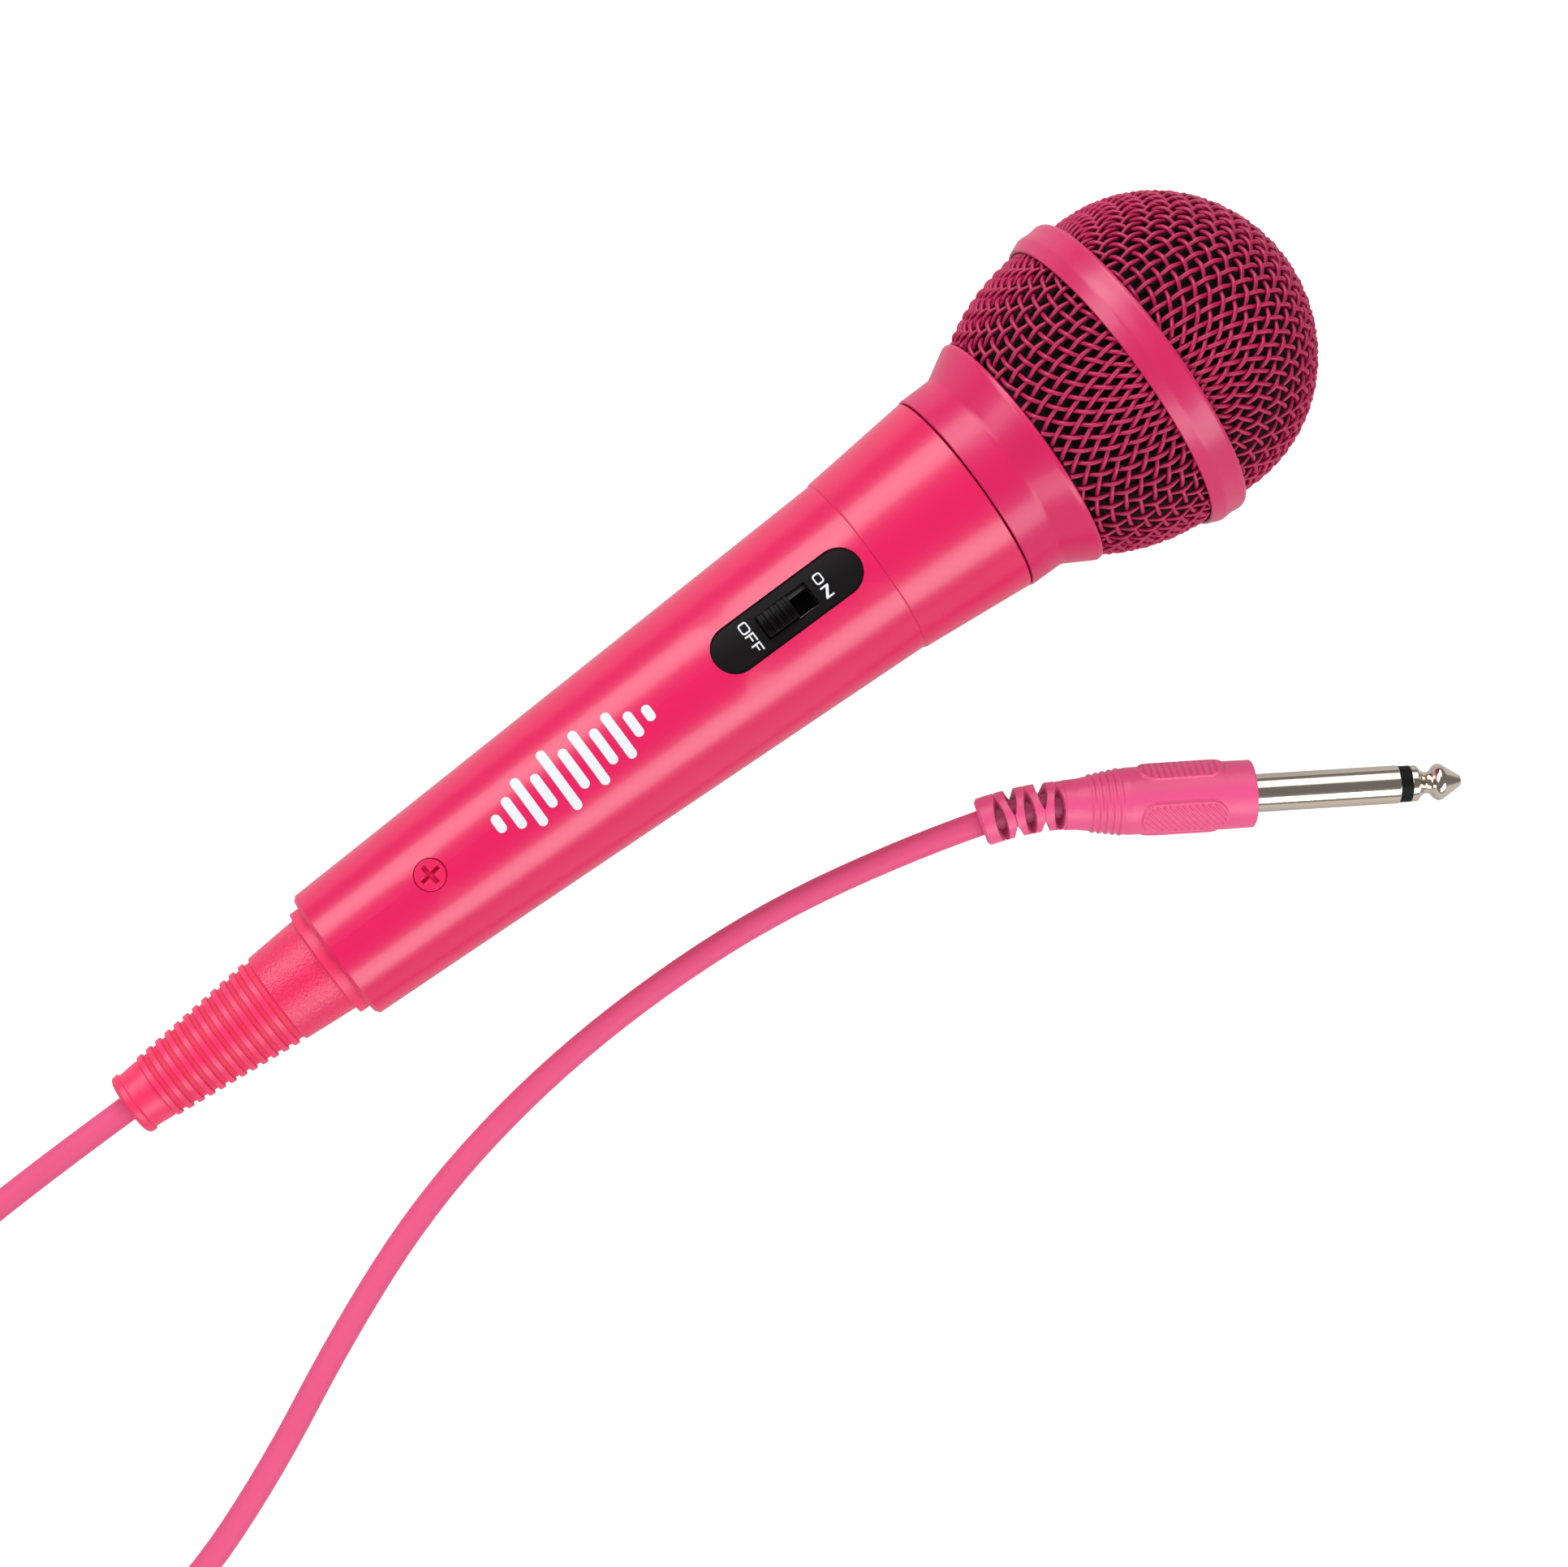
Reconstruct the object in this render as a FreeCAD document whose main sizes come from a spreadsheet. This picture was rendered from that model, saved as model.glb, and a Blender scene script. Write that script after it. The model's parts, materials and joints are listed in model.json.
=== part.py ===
"""A hand-held dynamic toy microphone with its lead and quarter-inch plug, as separate pieces.

The microphone's pieces are drawn along their own axis: X runs from the tail of the cord boot
towards the head and Z points at the switch.  The finished microphone then lies on the ground,
resting on the handle's rear edge and on the band round the head.  The plug's pieces are drawn
from the plug's shoulder, with X towards the tip.  Lengths are in millimetres.
"""
import FreeCAD, Part
import Sketcher
import math
import os
from types import SimpleNamespace

from FreeCAD import Placement, Rotation, Vector

document = FreeCAD.newDocument("toy_microphone")

DRIVING_SIZES = {
    # outer stations, measured along the axis from the boot's tail
    "handle_start": 40.0,
    "handle_end": 145.1,
    "neck_start": 145.35,
    "neck_end": 164.8,
    "collar_start": 165.06,
    "collar_end": 176.9,
    "band_start": 194.2,
    "band_end": 200.4,
    "dome_start": 200.06,
    "dome_tip": 229.5,
    # outer radii
    "handle_rear_radius": 11.48,
    "handle_front_radius": 15.85,
    "neck_rear_radius": 16.32,
    "neck_front_radius": 17.95,
    "collar_radius": 18.15,
    "rim_radius": 21.2,
    "cup_foot_radius": 20.8,
    "band_radius": 28.0,
    "band_rear_radius": 27.85,
    "dome_radius": 26.15,
    # walls and fits
    "handle_wall": 2.2,
    "mesh_wall": 1.3,
    "foam_gap": 0.45,
    "running_gap": 0.06,
    "part_line": 0.25,
    # cord boot
    "boot_tail_radius": 4.9,
    "boot_rib_start": 5.4,
    "boot_rib_pitch": 1.918,
    "boot_rib_rise": 0.45,
    "boot_root_radius": 7.85,
    "cord_diameter": 4.2,
    # switch
    "switch_middle": 129.16,
    "plate_length": 28.1,
    "plate_width": 8.0,
    "slot_length": 9.7,
    "slot_width": 4.35,
    "knob_length": 5.9,
    "switch_travel": 3.5,
    "can_length": 19.0,
    "can_width": 6.6,
    "can_top": 10.9,
    "can_height": 4.8,
    # rear screw
    "screw_station": 59.9,
    "screw_head_radius": 2.15,
    "screw_shank_radius": 1.25,
    # head thread
    "thread_radius": 15.55,
    "thread_length": 8.8,
    # capsule
    "capsule_start": 173.6,
    "capsule_front": 187.0,
    "capsule_radius": 12.2,
    "magnet_radius": 4.9,
    # plug
    "jack_radius": 3.175,
    "jack_sleeve_length": 23.8,
    "jack_length": 34.4,
    "plug_radius": 5.68,
    "grip_radius": 6.08,
    "relief_radius": 4.0,
    # put-away coil of the cord
    "coil_mean_radius": 25.2,
    "coil_spacing": 4.55,
}
TURNS_ACROSS = 4
RIB_COUNT = 12

sheet = document.addObject("Spreadsheet::Sheet", "Sizes")
for row, (alias, number) in enumerate(DRIVING_SIZES.items(), start=1):
    sheet.set(f"A{row}", alias)
    sheet.set(f"B{row}", str(number))
    sheet.setAlias(f"B{row}", alias)
document.recompute()


class Size:
    """A length with both its present value and the sheet expression that gives it."""

    def __init__(self, value, text):
        self.value = value
        self.text = text

    @staticmethod
    def of(thing):
        if isinstance(thing, Size):
            return thing
        return Size(float(thing), f"({float(thing)})")

    def __add__(self, other):
        other = Size.of(other)
        return Size(self.value + other.value, f"({self.text} + {other.text})")

    def __sub__(self, other):
        other = Size.of(other)
        return Size(self.value - other.value, f"({self.text} - {other.text})")

    def __mul__(self, factor):
        factor = Size.of(factor)
        return Size(self.value * factor.value, f"({self.text} * {factor.text})")

    def __truediv__(self, factor):
        factor = Size.of(factor)
        return Size(self.value / factor.value, f"({self.text} / {factor.text})")

    def __radd__(self, other):
        return Size.of(other) + self

    def __rsub__(self, other):
        return Size.of(other) - self

    def __rmul__(self, other):
        return Size.of(other) * self


size = SimpleNamespace(**{alias: Size(sheet.get(alias), f"Sizes.{alias}") for alias in DRIVING_SIZES})
cord_radius = size.cord_diameter / 2
finished = []


def bind(thing, **properties):
    """Tie a FreeCAD object's properties to sheet expressions."""
    for name, amount in properties.items():
        thing.setExpression(name, Size.of(amount).text)
    return thing


def keep(thing, label, placement):
    """Name a finished piece and put it in its place."""
    thing.Label = label
    thing.Placement = placement
    finished.append(thing)
    return thing


# ---------------------------------------------------------------- drawing helpers


def origin_feature(body, role):
    return next(feature for feature in body.Origin.OriginFeatures if feature.Role == role)


def sketch_on(body, plane, name):
    sketch = body.newObject("Sketcher::SketchObject", name)
    sketch.AttachmentSupport = [(origin_feature(body, plane), "")]
    sketch.MapMode = "FlatFace"
    return sketch


def arc_centre(start, finish, radius):
    """The middle of the short arc between two points; a positive radius bulges to the left."""
    chord = finish - start
    left = Vector(-chord.y, chord.x, 0).normalize()
    depth = math.sqrt(max(radius * radius - chord.Length ** 2 / 4, 0.0))
    return (start + finish) / 2 - left * math.copysign(depth, radius)


def outline(sketch, corners):
    """Draw a closed outline of (along, out) or (along, out, arc radius to the next corner)."""
    points = [(Size.of(corner[0]), Size.of(corner[1])) for corner in corners]
    places = [Vector(along.value, out.value, 0) for along, out in points]
    ends_of = []
    for index, corner in enumerate(corners):
        start = places[index]
        finish = places[(index + 1) % len(places)]
        if len(corner) == 3:
            radius = Size.of(corner[2])
            centre = arc_centre(start, finish, radius.value)
            first = math.atan2(start.y - centre.y, start.x - centre.x)
            last = math.atan2(finish.y - centre.y, finish.x - centre.x)
            clockwise = radius.value > 0
            if clockwise:
                first, last = last, first
            circle = Part.Circle(centre, Vector(0, 0, 1), abs(radius.value))
            sketch.addGeometry(Part.ArcOfCircle(circle, first, last), False)
            ends = (2, 1) if clockwise else (1, 2)
        else:
            sketch.addGeometry(Part.LineSegment(start, finish), False)
            ends = (1, 2)
        ends_of.append(ends)
    for index, corner in enumerate(corners):
        following = (index + 1) % len(corners)
        sketch.addConstraint(
            Sketcher.Constraint("Coincident", index, ends_of[index][1], following, ends_of[following][0])
        )
    for index, corner in enumerate(corners):
        for kind, axis, amount in zip(("DistanceX", "DistanceY"), (-2, -1), points[index]):
            vertex = ends_of[index][0]
            if amount.value == 0:
                sketch.addConstraint(Sketcher.Constraint("PointOnObject", index, vertex, axis))
                continue
            held = sketch.addConstraint(
                Sketcher.Constraint(kind, -1, 1, index, vertex, amount.value)
            )
            sketch.setExpression(f"Constraints[{held}]", amount.text)
        if len(corner) == 3:
            radius = Size.of(corner[2])
            held = sketch.addConstraint(Sketcher.Constraint("Radius", index, abs(radius.value)))
            sketch.setExpression(f"Constraints[{held}]", f"abs({radius.text})")


def turned(name, corners):
    """A body turned about the X axis from an outline of (along, radius) corners."""
    body = document.addObject("PartDesign::Body", name)
    sketch = sketch_on(body, "XZ_Plane", f"{name}_outline")
    outline(sketch, corners)
    revolution = body.newObject("PartDesign::Revolution", f"{name}_turned")
    revolution.Profile = sketch
    revolution.ReferenceAxis = (sketch, ["H_Axis"])
    revolution.Angle = 360
    sketch.Visibility = False
    document.recompute()
    return body


def ring(name, start, finish, inner, outer):
    """A plain ring, or a disc where the inner radius is 0."""
    return turned(name, [(start, inner), (start, outer), (finish, outer), (finish, inner)])


def drilled_round(body, pitch_radius, hole_radius, count):
    """Holes through a turned body, side by side round its axis."""
    sketch = sketch_on(body, "YZ_Plane", f"{body.Name}_hole")
    place = Vector(0, pitch_radius.value, 0)
    sketch.addGeometry(Part.Circle(place, Vector(0, 0, 1), hole_radius.value), False)
    sketch.addConstraint(Sketcher.Constraint("PointOnObject", 0, 3, -2))
    height = sketch.addConstraint(Sketcher.Constraint("DistanceY", -1, 1, 0, 3, pitch_radius.value))
    sketch.setExpression(f"Constraints[{height}]", pitch_radius.text)
    across = sketch.addConstraint(Sketcher.Constraint("Radius", 0, hole_radius.value))
    sketch.setExpression(f"Constraints[{across}]", hole_radius.text)
    pocket = body.newObject("PartDesign::Pocket", f"{body.Name}_drilled")
    pocket.Profile = sketch
    pocket.Type = "ThroughAll"
    pocket.Midplane = True
    document.recompute()
    pattern = body.newObject("PartDesign::PolarPattern", f"{body.Name}_holes")
    pattern.Originals = [pocket]
    pattern.Axis = (origin_feature(body, "X_Axis"), [""])
    pattern.Angle = 360
    pattern.Occurrences = count
    body.Tip = pattern
    sketch.Visibility = False
    document.recompute()
    return body


def block(name, length, width, height, start, bottom, side=None):
    """A box from start along X, centred on Y = 0 or from side, standing on Z = bottom."""
    box = document.addObject("Part::Box", name)
    bind(box, Length=length, Width=width, Height=height)
    left = Size.of(0) - Size.of(width) / 2 if side is None else Size.of(side)
    corner = {"x": Size.of(start), "y": left, "z": Size.of(bottom)}
    for axis, amount in corner.items():
        box.setExpression(f"Placement.Base.{axis}", amount.text)
    return box


def post(name, radius, height, along, bottom, across=0):
    """A cylinder standing along Z."""
    cylinder = document.addObject("Part::Cylinder", name)
    bind(cylinder, Radius=radius, Height=height)
    corner = {"x": Size.of(along), "y": Size.of(across), "z": Size.of(bottom)}
    for axis, amount in corner.items():
        cylinder.setExpression(f"Placement.Base.{axis}", amount.text)
    return cylinder


def joined(name, shapes):
    fuse = document.addObject("Part::MultiFuse", name)
    fuse.Shapes = shapes
    return fuse


def cut(name, base, tool):
    result = document.addObject("Part::Cut", name)
    result.Base = base
    result.Tool = tool
    return result


def common(name, shapes):
    result = document.addObject("Part::MultiCommon", name)
    result.Shapes = shapes
    return result


def stadium(name, length, width, bottom, height, middle):
    """An upright slab with round ends, its long way along X."""
    length, width = Size.of(length), Size.of(width)
    straight = length - width
    slab = block(f"{name}_slab", straight, width, height, middle - straight / 2, bottom)
    ends = [
        post(f"{name}_end_{side}", width / 2, height, middle + straight * side / 2, bottom)
        for side in (-1, 1)
    ]
    return joined(name, [slab, *ends])


def rounded_path(points, name):
    """Straight runs joined by tangent arcs; prints the arc radii and returns wire and length."""
    places = [Vector(*point) for point in points]
    edges = []
    radii = []
    last = places[0]
    for before, corner, after in zip(places, places[1:], places[2:]):
        arriving = (corner - before).normalize()
        leaving = (after - corner).normalize()
        turn = arriving.getAngle(leaving)
        setback = 0.45 * min((corner - before).Length, (after - corner).Length)
        radii.append(setback / math.tan(turn / 2))
        start = corner - arriving * setback
        finish = corner + leaving * setback
        inward = (leaving - arriving).normalize()
        reach = radii[-1] / math.cos(turn / 2) - radii[-1]
        edges.append(Part.LineSegment(last, start).toShape())
        edges.append(Part.Arc(start, corner + inward * reach, finish).toShape())
        last = finish
    edges.append(Part.LineSegment(last, places[-1]).toShape())
    print(name, "arc radii", [round(radius, 1) for radius in radii])
    return Part.Wire(edges), sum(edge.Length for edge in edges)


def tube_shape(points, radius, name):
    """A round solid along a rounded path, its volume checked against section times length."""
    path, length = rounded_path(points, name)
    start = Vector(*points[0])
    heading = Vector(*points[1]) - start
    section = Part.Wire(Part.makeCircle(radius, start, heading))
    shape = path.makePipeShell([section], True, False)
    expected = math.pi * radius * radius * length
    if abs(shape.Volume - expected) > 0.01 * expected:
        raise ValueError(f"{name}: volume {shape.Volume:.1f}, expected {expected:.1f}")
    print(name, "length", round(length, 1))
    return shape


def run_of(name, points, radius, placement):
    """A cord or wire that follows a list of points."""
    feature = document.addObject("Part::Feature", name)
    feature.Shape = tube_shape(points, radius, name)
    return keep(feature, name, placement)


# ---------------------------------------------------------------- where the microphone lies

BAND_CREST = size.band_start + 2.2
lie_angle = math.atan2(
    size.band_rear_radius.value - size.handle_rear_radius.value,
    BAND_CREST.value - size.handle_start.value,
)
nose_radius = 27.16
length_on_ground = (
    (size.dome_tip.value - nose_radius) * math.cos(lie_angle)
    + nose_radius
    + size.boot_tail_radius.value * math.sin(lie_angle)
)
tail = Vector(
    size.boot_tail_radius.value * math.sin(lie_angle) - length_on_ground / 2,
    0,
    size.handle_rear_radius.value * math.cos(lie_angle)
    - size.handle_start.value * math.sin(lie_angle),
)
ALONG_MICROPHONE = Placement(tail, Rotation(Vector(0, 1, 0), -math.degrees(lie_angle)))


# ---------------------------------------------------------------- handle, boot and cord entry


def handle_radius_at(station):
    """The handle's outer radius at a distance from the boot's tail."""
    rise = (size.handle_front_radius - size.handle_rear_radius) / (
        size.handle_end - size.handle_start
    )
    return size.handle_rear_radius + rise * (station - size.handle_start)


BOOT_SEAT_RADIUS = 8.0
SPIGOT_RADIUS = 13.9
SPIGOT_DEPTH = 12.2


def handle_tube():
    spigot_end = size.handle_end - SPIGOT_DEPTH
    shell = turned(
        "handle_shell",
        [
            (size.handle_start, BOOT_SEAT_RADIUS),
            (size.handle_start, size.handle_rear_radius - 0.6),
            (size.handle_start + 0.6, size.handle_rear_radius),
            (size.handle_end, size.handle_front_radius),
            (size.handle_end, SPIGOT_RADIUS + size.running_gap),
            (spigot_end, SPIGOT_RADIUS + size.running_gap),
            (spigot_end, handle_radius_at(spigot_end) - size.handle_wall),
            (size.handle_start + 3, handle_radius_at(size.handle_start + 3) - size.handle_wall),
            (size.handle_start + 3, BOOT_SEAT_RADIUS),
        ],
    )
    window = stadium(
        "plate_window", size.plate_length, size.plate_width, 4, 14, size.switch_middle - 0.02
    )
    screw_surface = handle_radius_at(size.screw_station)
    recess = post("screw_recess", 2.7, 3, size.screw_station, screw_surface - 1.7)
    clearance = post("screw_clearance", 1.45, 6, size.screw_station, screw_surface - 6)
    cuts = joined("handle_cuts", [window, recess, clearance])
    keep(cut("handle_tube_cut", shell, cuts), "handle_tube", ALONG_MICROPHONE)


def strain_relief_boot():
    """A soft ribbed sleeve whose flange seats on the handle's rear face."""
    tail_radius = size.boot_tail_radius
    rise_per_length = 0.098
    corners = [
        (0, cord_radius + size.running_gap),
        (0, tail_radius - 0.4),
        (0.5, tail_radius + 0.3),
        (1.5, tail_radius + 0.45),
        (1.6, tail_radius + 0.02),
        (size.boot_rib_start - 0.6, tail_radius + 0.4),
    ]
    rib_foot = tail_radius + 0.2
    for rib in range(RIB_COUNT):
        start = size.boot_rib_start + size.boot_rib_pitch * rib
        foot = rib_foot + size.boot_rib_pitch * (rib * rise_per_length)
        crest = foot + size.boot_rib_rise
        corners += [
            (start, foot),
            (start + 0.25, crest),
            (start + 1.2, crest + 0.09),
            (start + 1.3, foot + 0.12),
        ]
    body_start = size.boot_rib_start + size.boot_rib_pitch * RIB_COUNT
    flange_start = size.handle_start - 1.95
    corners += [
        (body_start + 0.1, size.boot_root_radius - 0.6),
        (body_start + 0.25, size.boot_root_radius),
        (flange_start - 0.05, size.boot_root_radius + 0.72),
        (flange_start, 9.5),
        (flange_start + 0.25, 9.65),
        (size.handle_start - 0.3, 9.65),
        (size.handle_start - 0.02, 9.4),
        (size.handle_start - 0.02, BOOT_SEAT_RADIUS - size.running_gap),
        (size.handle_start + 3.1, BOOT_SEAT_RADIUS - size.running_gap),
        (size.handle_start + 3.1, BOOT_SEAT_RADIUS + 0.7),
        (size.handle_start + 5.3, BOOT_SEAT_RADIUS),
        (size.handle_start + 5.3, cord_radius + size.running_gap),
    ]
    keep(turned("boot", corners), "strain_relief_boot", ALONG_MICROPHONE)


ANCHOR_START = 46.0
ANCHOR_END = 70.0


def cord_anchor():
    """The plug moulding that fills the handle's rear, clamps the cord and takes the screw."""
    start = Size.of(ANCHOR_START)
    finish = Size.of(ANCHOR_END)
    inside = size.handle_wall + 0.1
    solid = turned(
        "anchor_turned",
        [
            (start, cord_radius + size.running_gap),
            (start, handle_radius_at(start) - inside),
            (finish, handle_radius_at(finish) - inside),
            (finish, cord_radius + size.running_gap),
        ],
    )
    pilot = post("anchor_pilot", size.screw_shank_radius + 0.02, 8, size.screw_station, 3.9)
    keep(cut("anchor_cut", solid, pilot), "cord_anchor", ALONG_MICROPHONE)


def anchor_screw():
    """A cross-head self-tapping screw, seated in the handle's recess."""
    seat = handle_radius_at(size.screw_station) - 1.68
    shank = post("screw_shank", size.screw_shank_radius, seat - 4, size.screw_station, 4)
    head = post("screw_head", size.screw_head_radius, 1.2, size.screw_station, seat)
    slots = [
        block("slot_along", 2.6, 0.6, 1.0, size.screw_station - 1.3, seat + 0.5),
        block("slot_across", 0.6, 2.6, 1.0, size.screw_station - 0.3, seat + 0.5),
    ]
    solid = joined("screw_solid", [shank, head])
    cross = joined("screw_cross", slots)
    keep(cut("screw_cut", solid, cross), "anchor_screw", ALONG_MICROPHONE)


def cord_inside_handle():
    """The cord's jacket through the boot and anchor, its retaining tie and two stripped cores."""
    jacket_end = ANCHOR_END + 6
    ring_of_cord = ring("inner_jacket", 0.02, jacket_end, 0, cord_radius)
    keep(ring_of_cord, "inner_cord", ALONG_MICROPHONE)
    tie = ring("retaining_tie", ANCHOR_END + 0.1, ANCHOR_END + 2.6, cord_radius + 0.02, 3.3)
    keep(tie, "cord_retaining_tie", ALONG_MICROPHONE)
    first = size.switch_middle.value - 4
    core_radius = 0.6
    hot = [(jacket_end + 0.3, 0.8, 0), (92, 2.6, -1.5), (110, 3.2, -0.8), (first - 1, 1.8, 2.2)]
    shield = [(jacket_end + 0.3, -0.8, 0), (93, -2.4, -2.2), (108, -3.0, -1.6)]
    shield.append((size.switch_middle.value - 1, -1.8, 2.2))
    run_of("cord_core_hot", hot, core_radius, ALONG_MICROPHONE)
    run_of("cord_core_shield", shield, core_radius, ALONG_MICROPHONE)


# ---------------------------------------------------------------- switch


def switch_plate():
    """A black escutcheon: its face fills the window and its flange sits behind the wall."""
    middle = size.switch_middle - 0.02
    reach = size.plate_length
    rear = middle - reach
    front = middle + reach

    def sleeve(name, outer_drop, inner_drop):
        return turned(
            name,
            [
                (rear, handle_radius_at(rear) - inner_drop),
                (rear, handle_radius_at(rear) - outer_drop),
                (front, handle_radius_at(front) - outer_drop),
                (front, handle_radius_at(front) - inner_drop),
            ],
        )

    face_prism = stadium(
        "face_prism", size.plate_length - 0.16, size.plate_width - 0.16, 5, 12, middle
    )
    face = common("plate_face", [face_prism, sleeve("face_sleeve", 0.35, size.handle_wall + 0.3)])
    flange_length = size.handle_end - SPIGOT_DEPTH - 0.5 - middle
    flange_prism = stadium("flange_prism", flange_length * 2 + 22, 11.4, 5, 12, middle)
    flange_limit = block("flange_limit", 31.5, 12, 14, middle - 15.8, 4)
    flange_sleeve = sleeve("flange_sleeve", size.handle_wall + 0.08, size.handle_wall + 1.1)
    flange = common("plate_flange", [flange_prism, flange_sleeve, flange_limit])
    solid = joined("plate_solid", [face, flange])
    slot = block(
        "knob_slot", size.slot_length, size.slot_width, 14, middle - size.slot_length / 2, 4
    )
    keep(cut("plate_cut", solid, slot), "switch_plate", ALONG_MICROPHONE)


def switch_works():
    """The slide switch behind the plate: can, base, terminals, contact and the knob."""
    middle = size.switch_middle - 0.02
    can_start = middle - size.can_length / 2
    can_bottom = size.can_top - size.can_height
    outer = block("can_outer", size.can_length, size.can_width, size.can_height, can_start, can_bottom)
    hollow = block(
        "can_hollow",
        size.can_length - 1,
        size.can_width - 1,
        size.can_height - 0.5,
        can_start + 0.5,
        can_bottom,
    )
    slot = block("can_slot", 9.9, 3.3, 3, middle - 4.95, size.can_top - 1)
    ears = block("can_ears", size.can_length + 9, 5, 0.5, can_start - 4.5, size.can_top - 0.5)
    ear_holes = [
        post(f"ear_hole_{side}", 1.05, 2, middle + (size.can_length / 2 + 2.3) * side, size.can_top - 1)
        for side in (-1, 1)
    ]
    solid = joined("can_solid", [outer, ears])
    can = cut("can_cut", solid, joined("can_cuts", [hollow, slot, *ear_holes]))
    keep(can, "switch_can", ALONG_MICROPHONE)

    base = block(
        "base_block",
        size.can_length - 1.1,
        size.can_width - 1.1,
        1.1,
        can_start + 0.55,
        can_bottom,
    )
    stations = [middle + offset for offset in (-4, 0, 4)]
    holes = [
        block(f"base_hole_{index}", 0.9, 1.7, 3, station - 0.45, can_bottom - 1)
        for index, station in enumerate(stations)
    ]
    keep(cut("base_cut", base, joined("base_holes", holes)), "switch_base", ALONG_MICROPHONE)

    blades = [
        block(f"terminal_{index}", 0.8, 1.6, 4.6, station - 0.4, can_bottom - 3.2)
        for index, station in enumerate(stations)
    ]
    terminals = document.addObject("Part::Compound", "blades")
    terminals.Links = blades
    keep(terminals, "switch_terminals", ALONG_MICROPHONE)

    knob_start = middle - size.slot_length / 2 + 0.15
    carrier_bottom = can_bottom + 2.1
    carrier = block("knob_carrier", 8.4, size.can_width - 1.4, 1.9, knob_start - 1.25, carrier_bottom)
    stem = block("knob_stem", 4.6, 3.0, 2.6, knob_start + 0.65, size.can_top - 0.9)
    crown_bottom = size.can_top + 1.3
    crown = block(
        "knob_crown", size.knob_length, size.slot_width - 0.3, 3.7, knob_start, crown_bottom
    )
    ridge_pitch = (size.knob_length - 0.6) / 4
    grooves = [
        block(f"knob_groove_{index}", 0.55, 6, 0.5, knob_start + 0.68 + ridge_pitch * index,
              crown_bottom + 3.25)
        for index in range(4)
    ]
    knob = joined("knob_solid", [carrier, stem, crown])
    keep(cut("knob_cut", knob, joined("knob_grooves", grooves)), "switch_knob", ALONG_MICROPHONE)
    dimple_bottom = carrier_bottom - 0.66
    strip = block("contact_strip", 5.6, 3.0, 0.4, knob_start + 0.15, carrier_bottom - 0.42)
    dimples = [
        block(f"contact_dimple_{index}", 0.7, 2.0, 0.3, middle + offset, dimple_bottom)
        for index, offset in enumerate((-4.35, -0.35))
    ]
    keep(joined("contact_solid", [strip, *dimples]), "switch_contact", ALONG_MICROPHONE)

    screws = []
    for side in (-1, 1):
        station = middle + (size.can_length / 2 + 2.3) * side
        screws.append(post(f"ear_shank_{side}", 0.95, 1.0, station, size.can_top - 0.9))
        screws.append(post(f"ear_head_{side}", 1.7, 0.9, station, size.can_top - 1.5))
    pair = document.addObject("Part::Compound", "ear_screws")
    pair.Links = [joined("ear_screw_rear", screws[:2]), joined("ear_screw_front", screws[2:])]
    keep(pair, "switch_screws", ALONG_MICROPHONE)


# ---------------------------------------------------------------- neck and head


def neck_ring():
    """The step between handle and head: a spigot notched for the switch, and the head's thread."""
    bore = 11.8
    nose = size.neck_end + size.thread_length
    spigot_start = size.handle_end - SPIGOT_DEPTH + 0.1
    solid = turned(
        "neck",
        [
            (spigot_start, bore),
            (spigot_start, SPIGOT_RADIUS),
            (size.neck_start, SPIGOT_RADIUS),
            (size.neck_start, size.neck_rear_radius - 0.2),
            (size.neck_start + 0.2, size.neck_rear_radius),
            (size.neck_end - 0.2, size.neck_front_radius),
            (size.neck_end, size.neck_front_radius - 0.2),
            (size.neck_end, size.thread_radius),
            (nose, size.thread_radius),
            (nose, size.thread_radius - 1.75),
            (size.neck_end - 4.8, size.thread_radius - 1.75),
            (size.neck_end - 4.8, bore),
        ],
    )
    notch = block("spigot_notch", size.handle_end - spigot_start, 13.4, 20, spigot_start - 0.6, 0)
    keep(cut("neck_cut", solid, notch), "neck_ring", ALONG_MICROPHONE)


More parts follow.
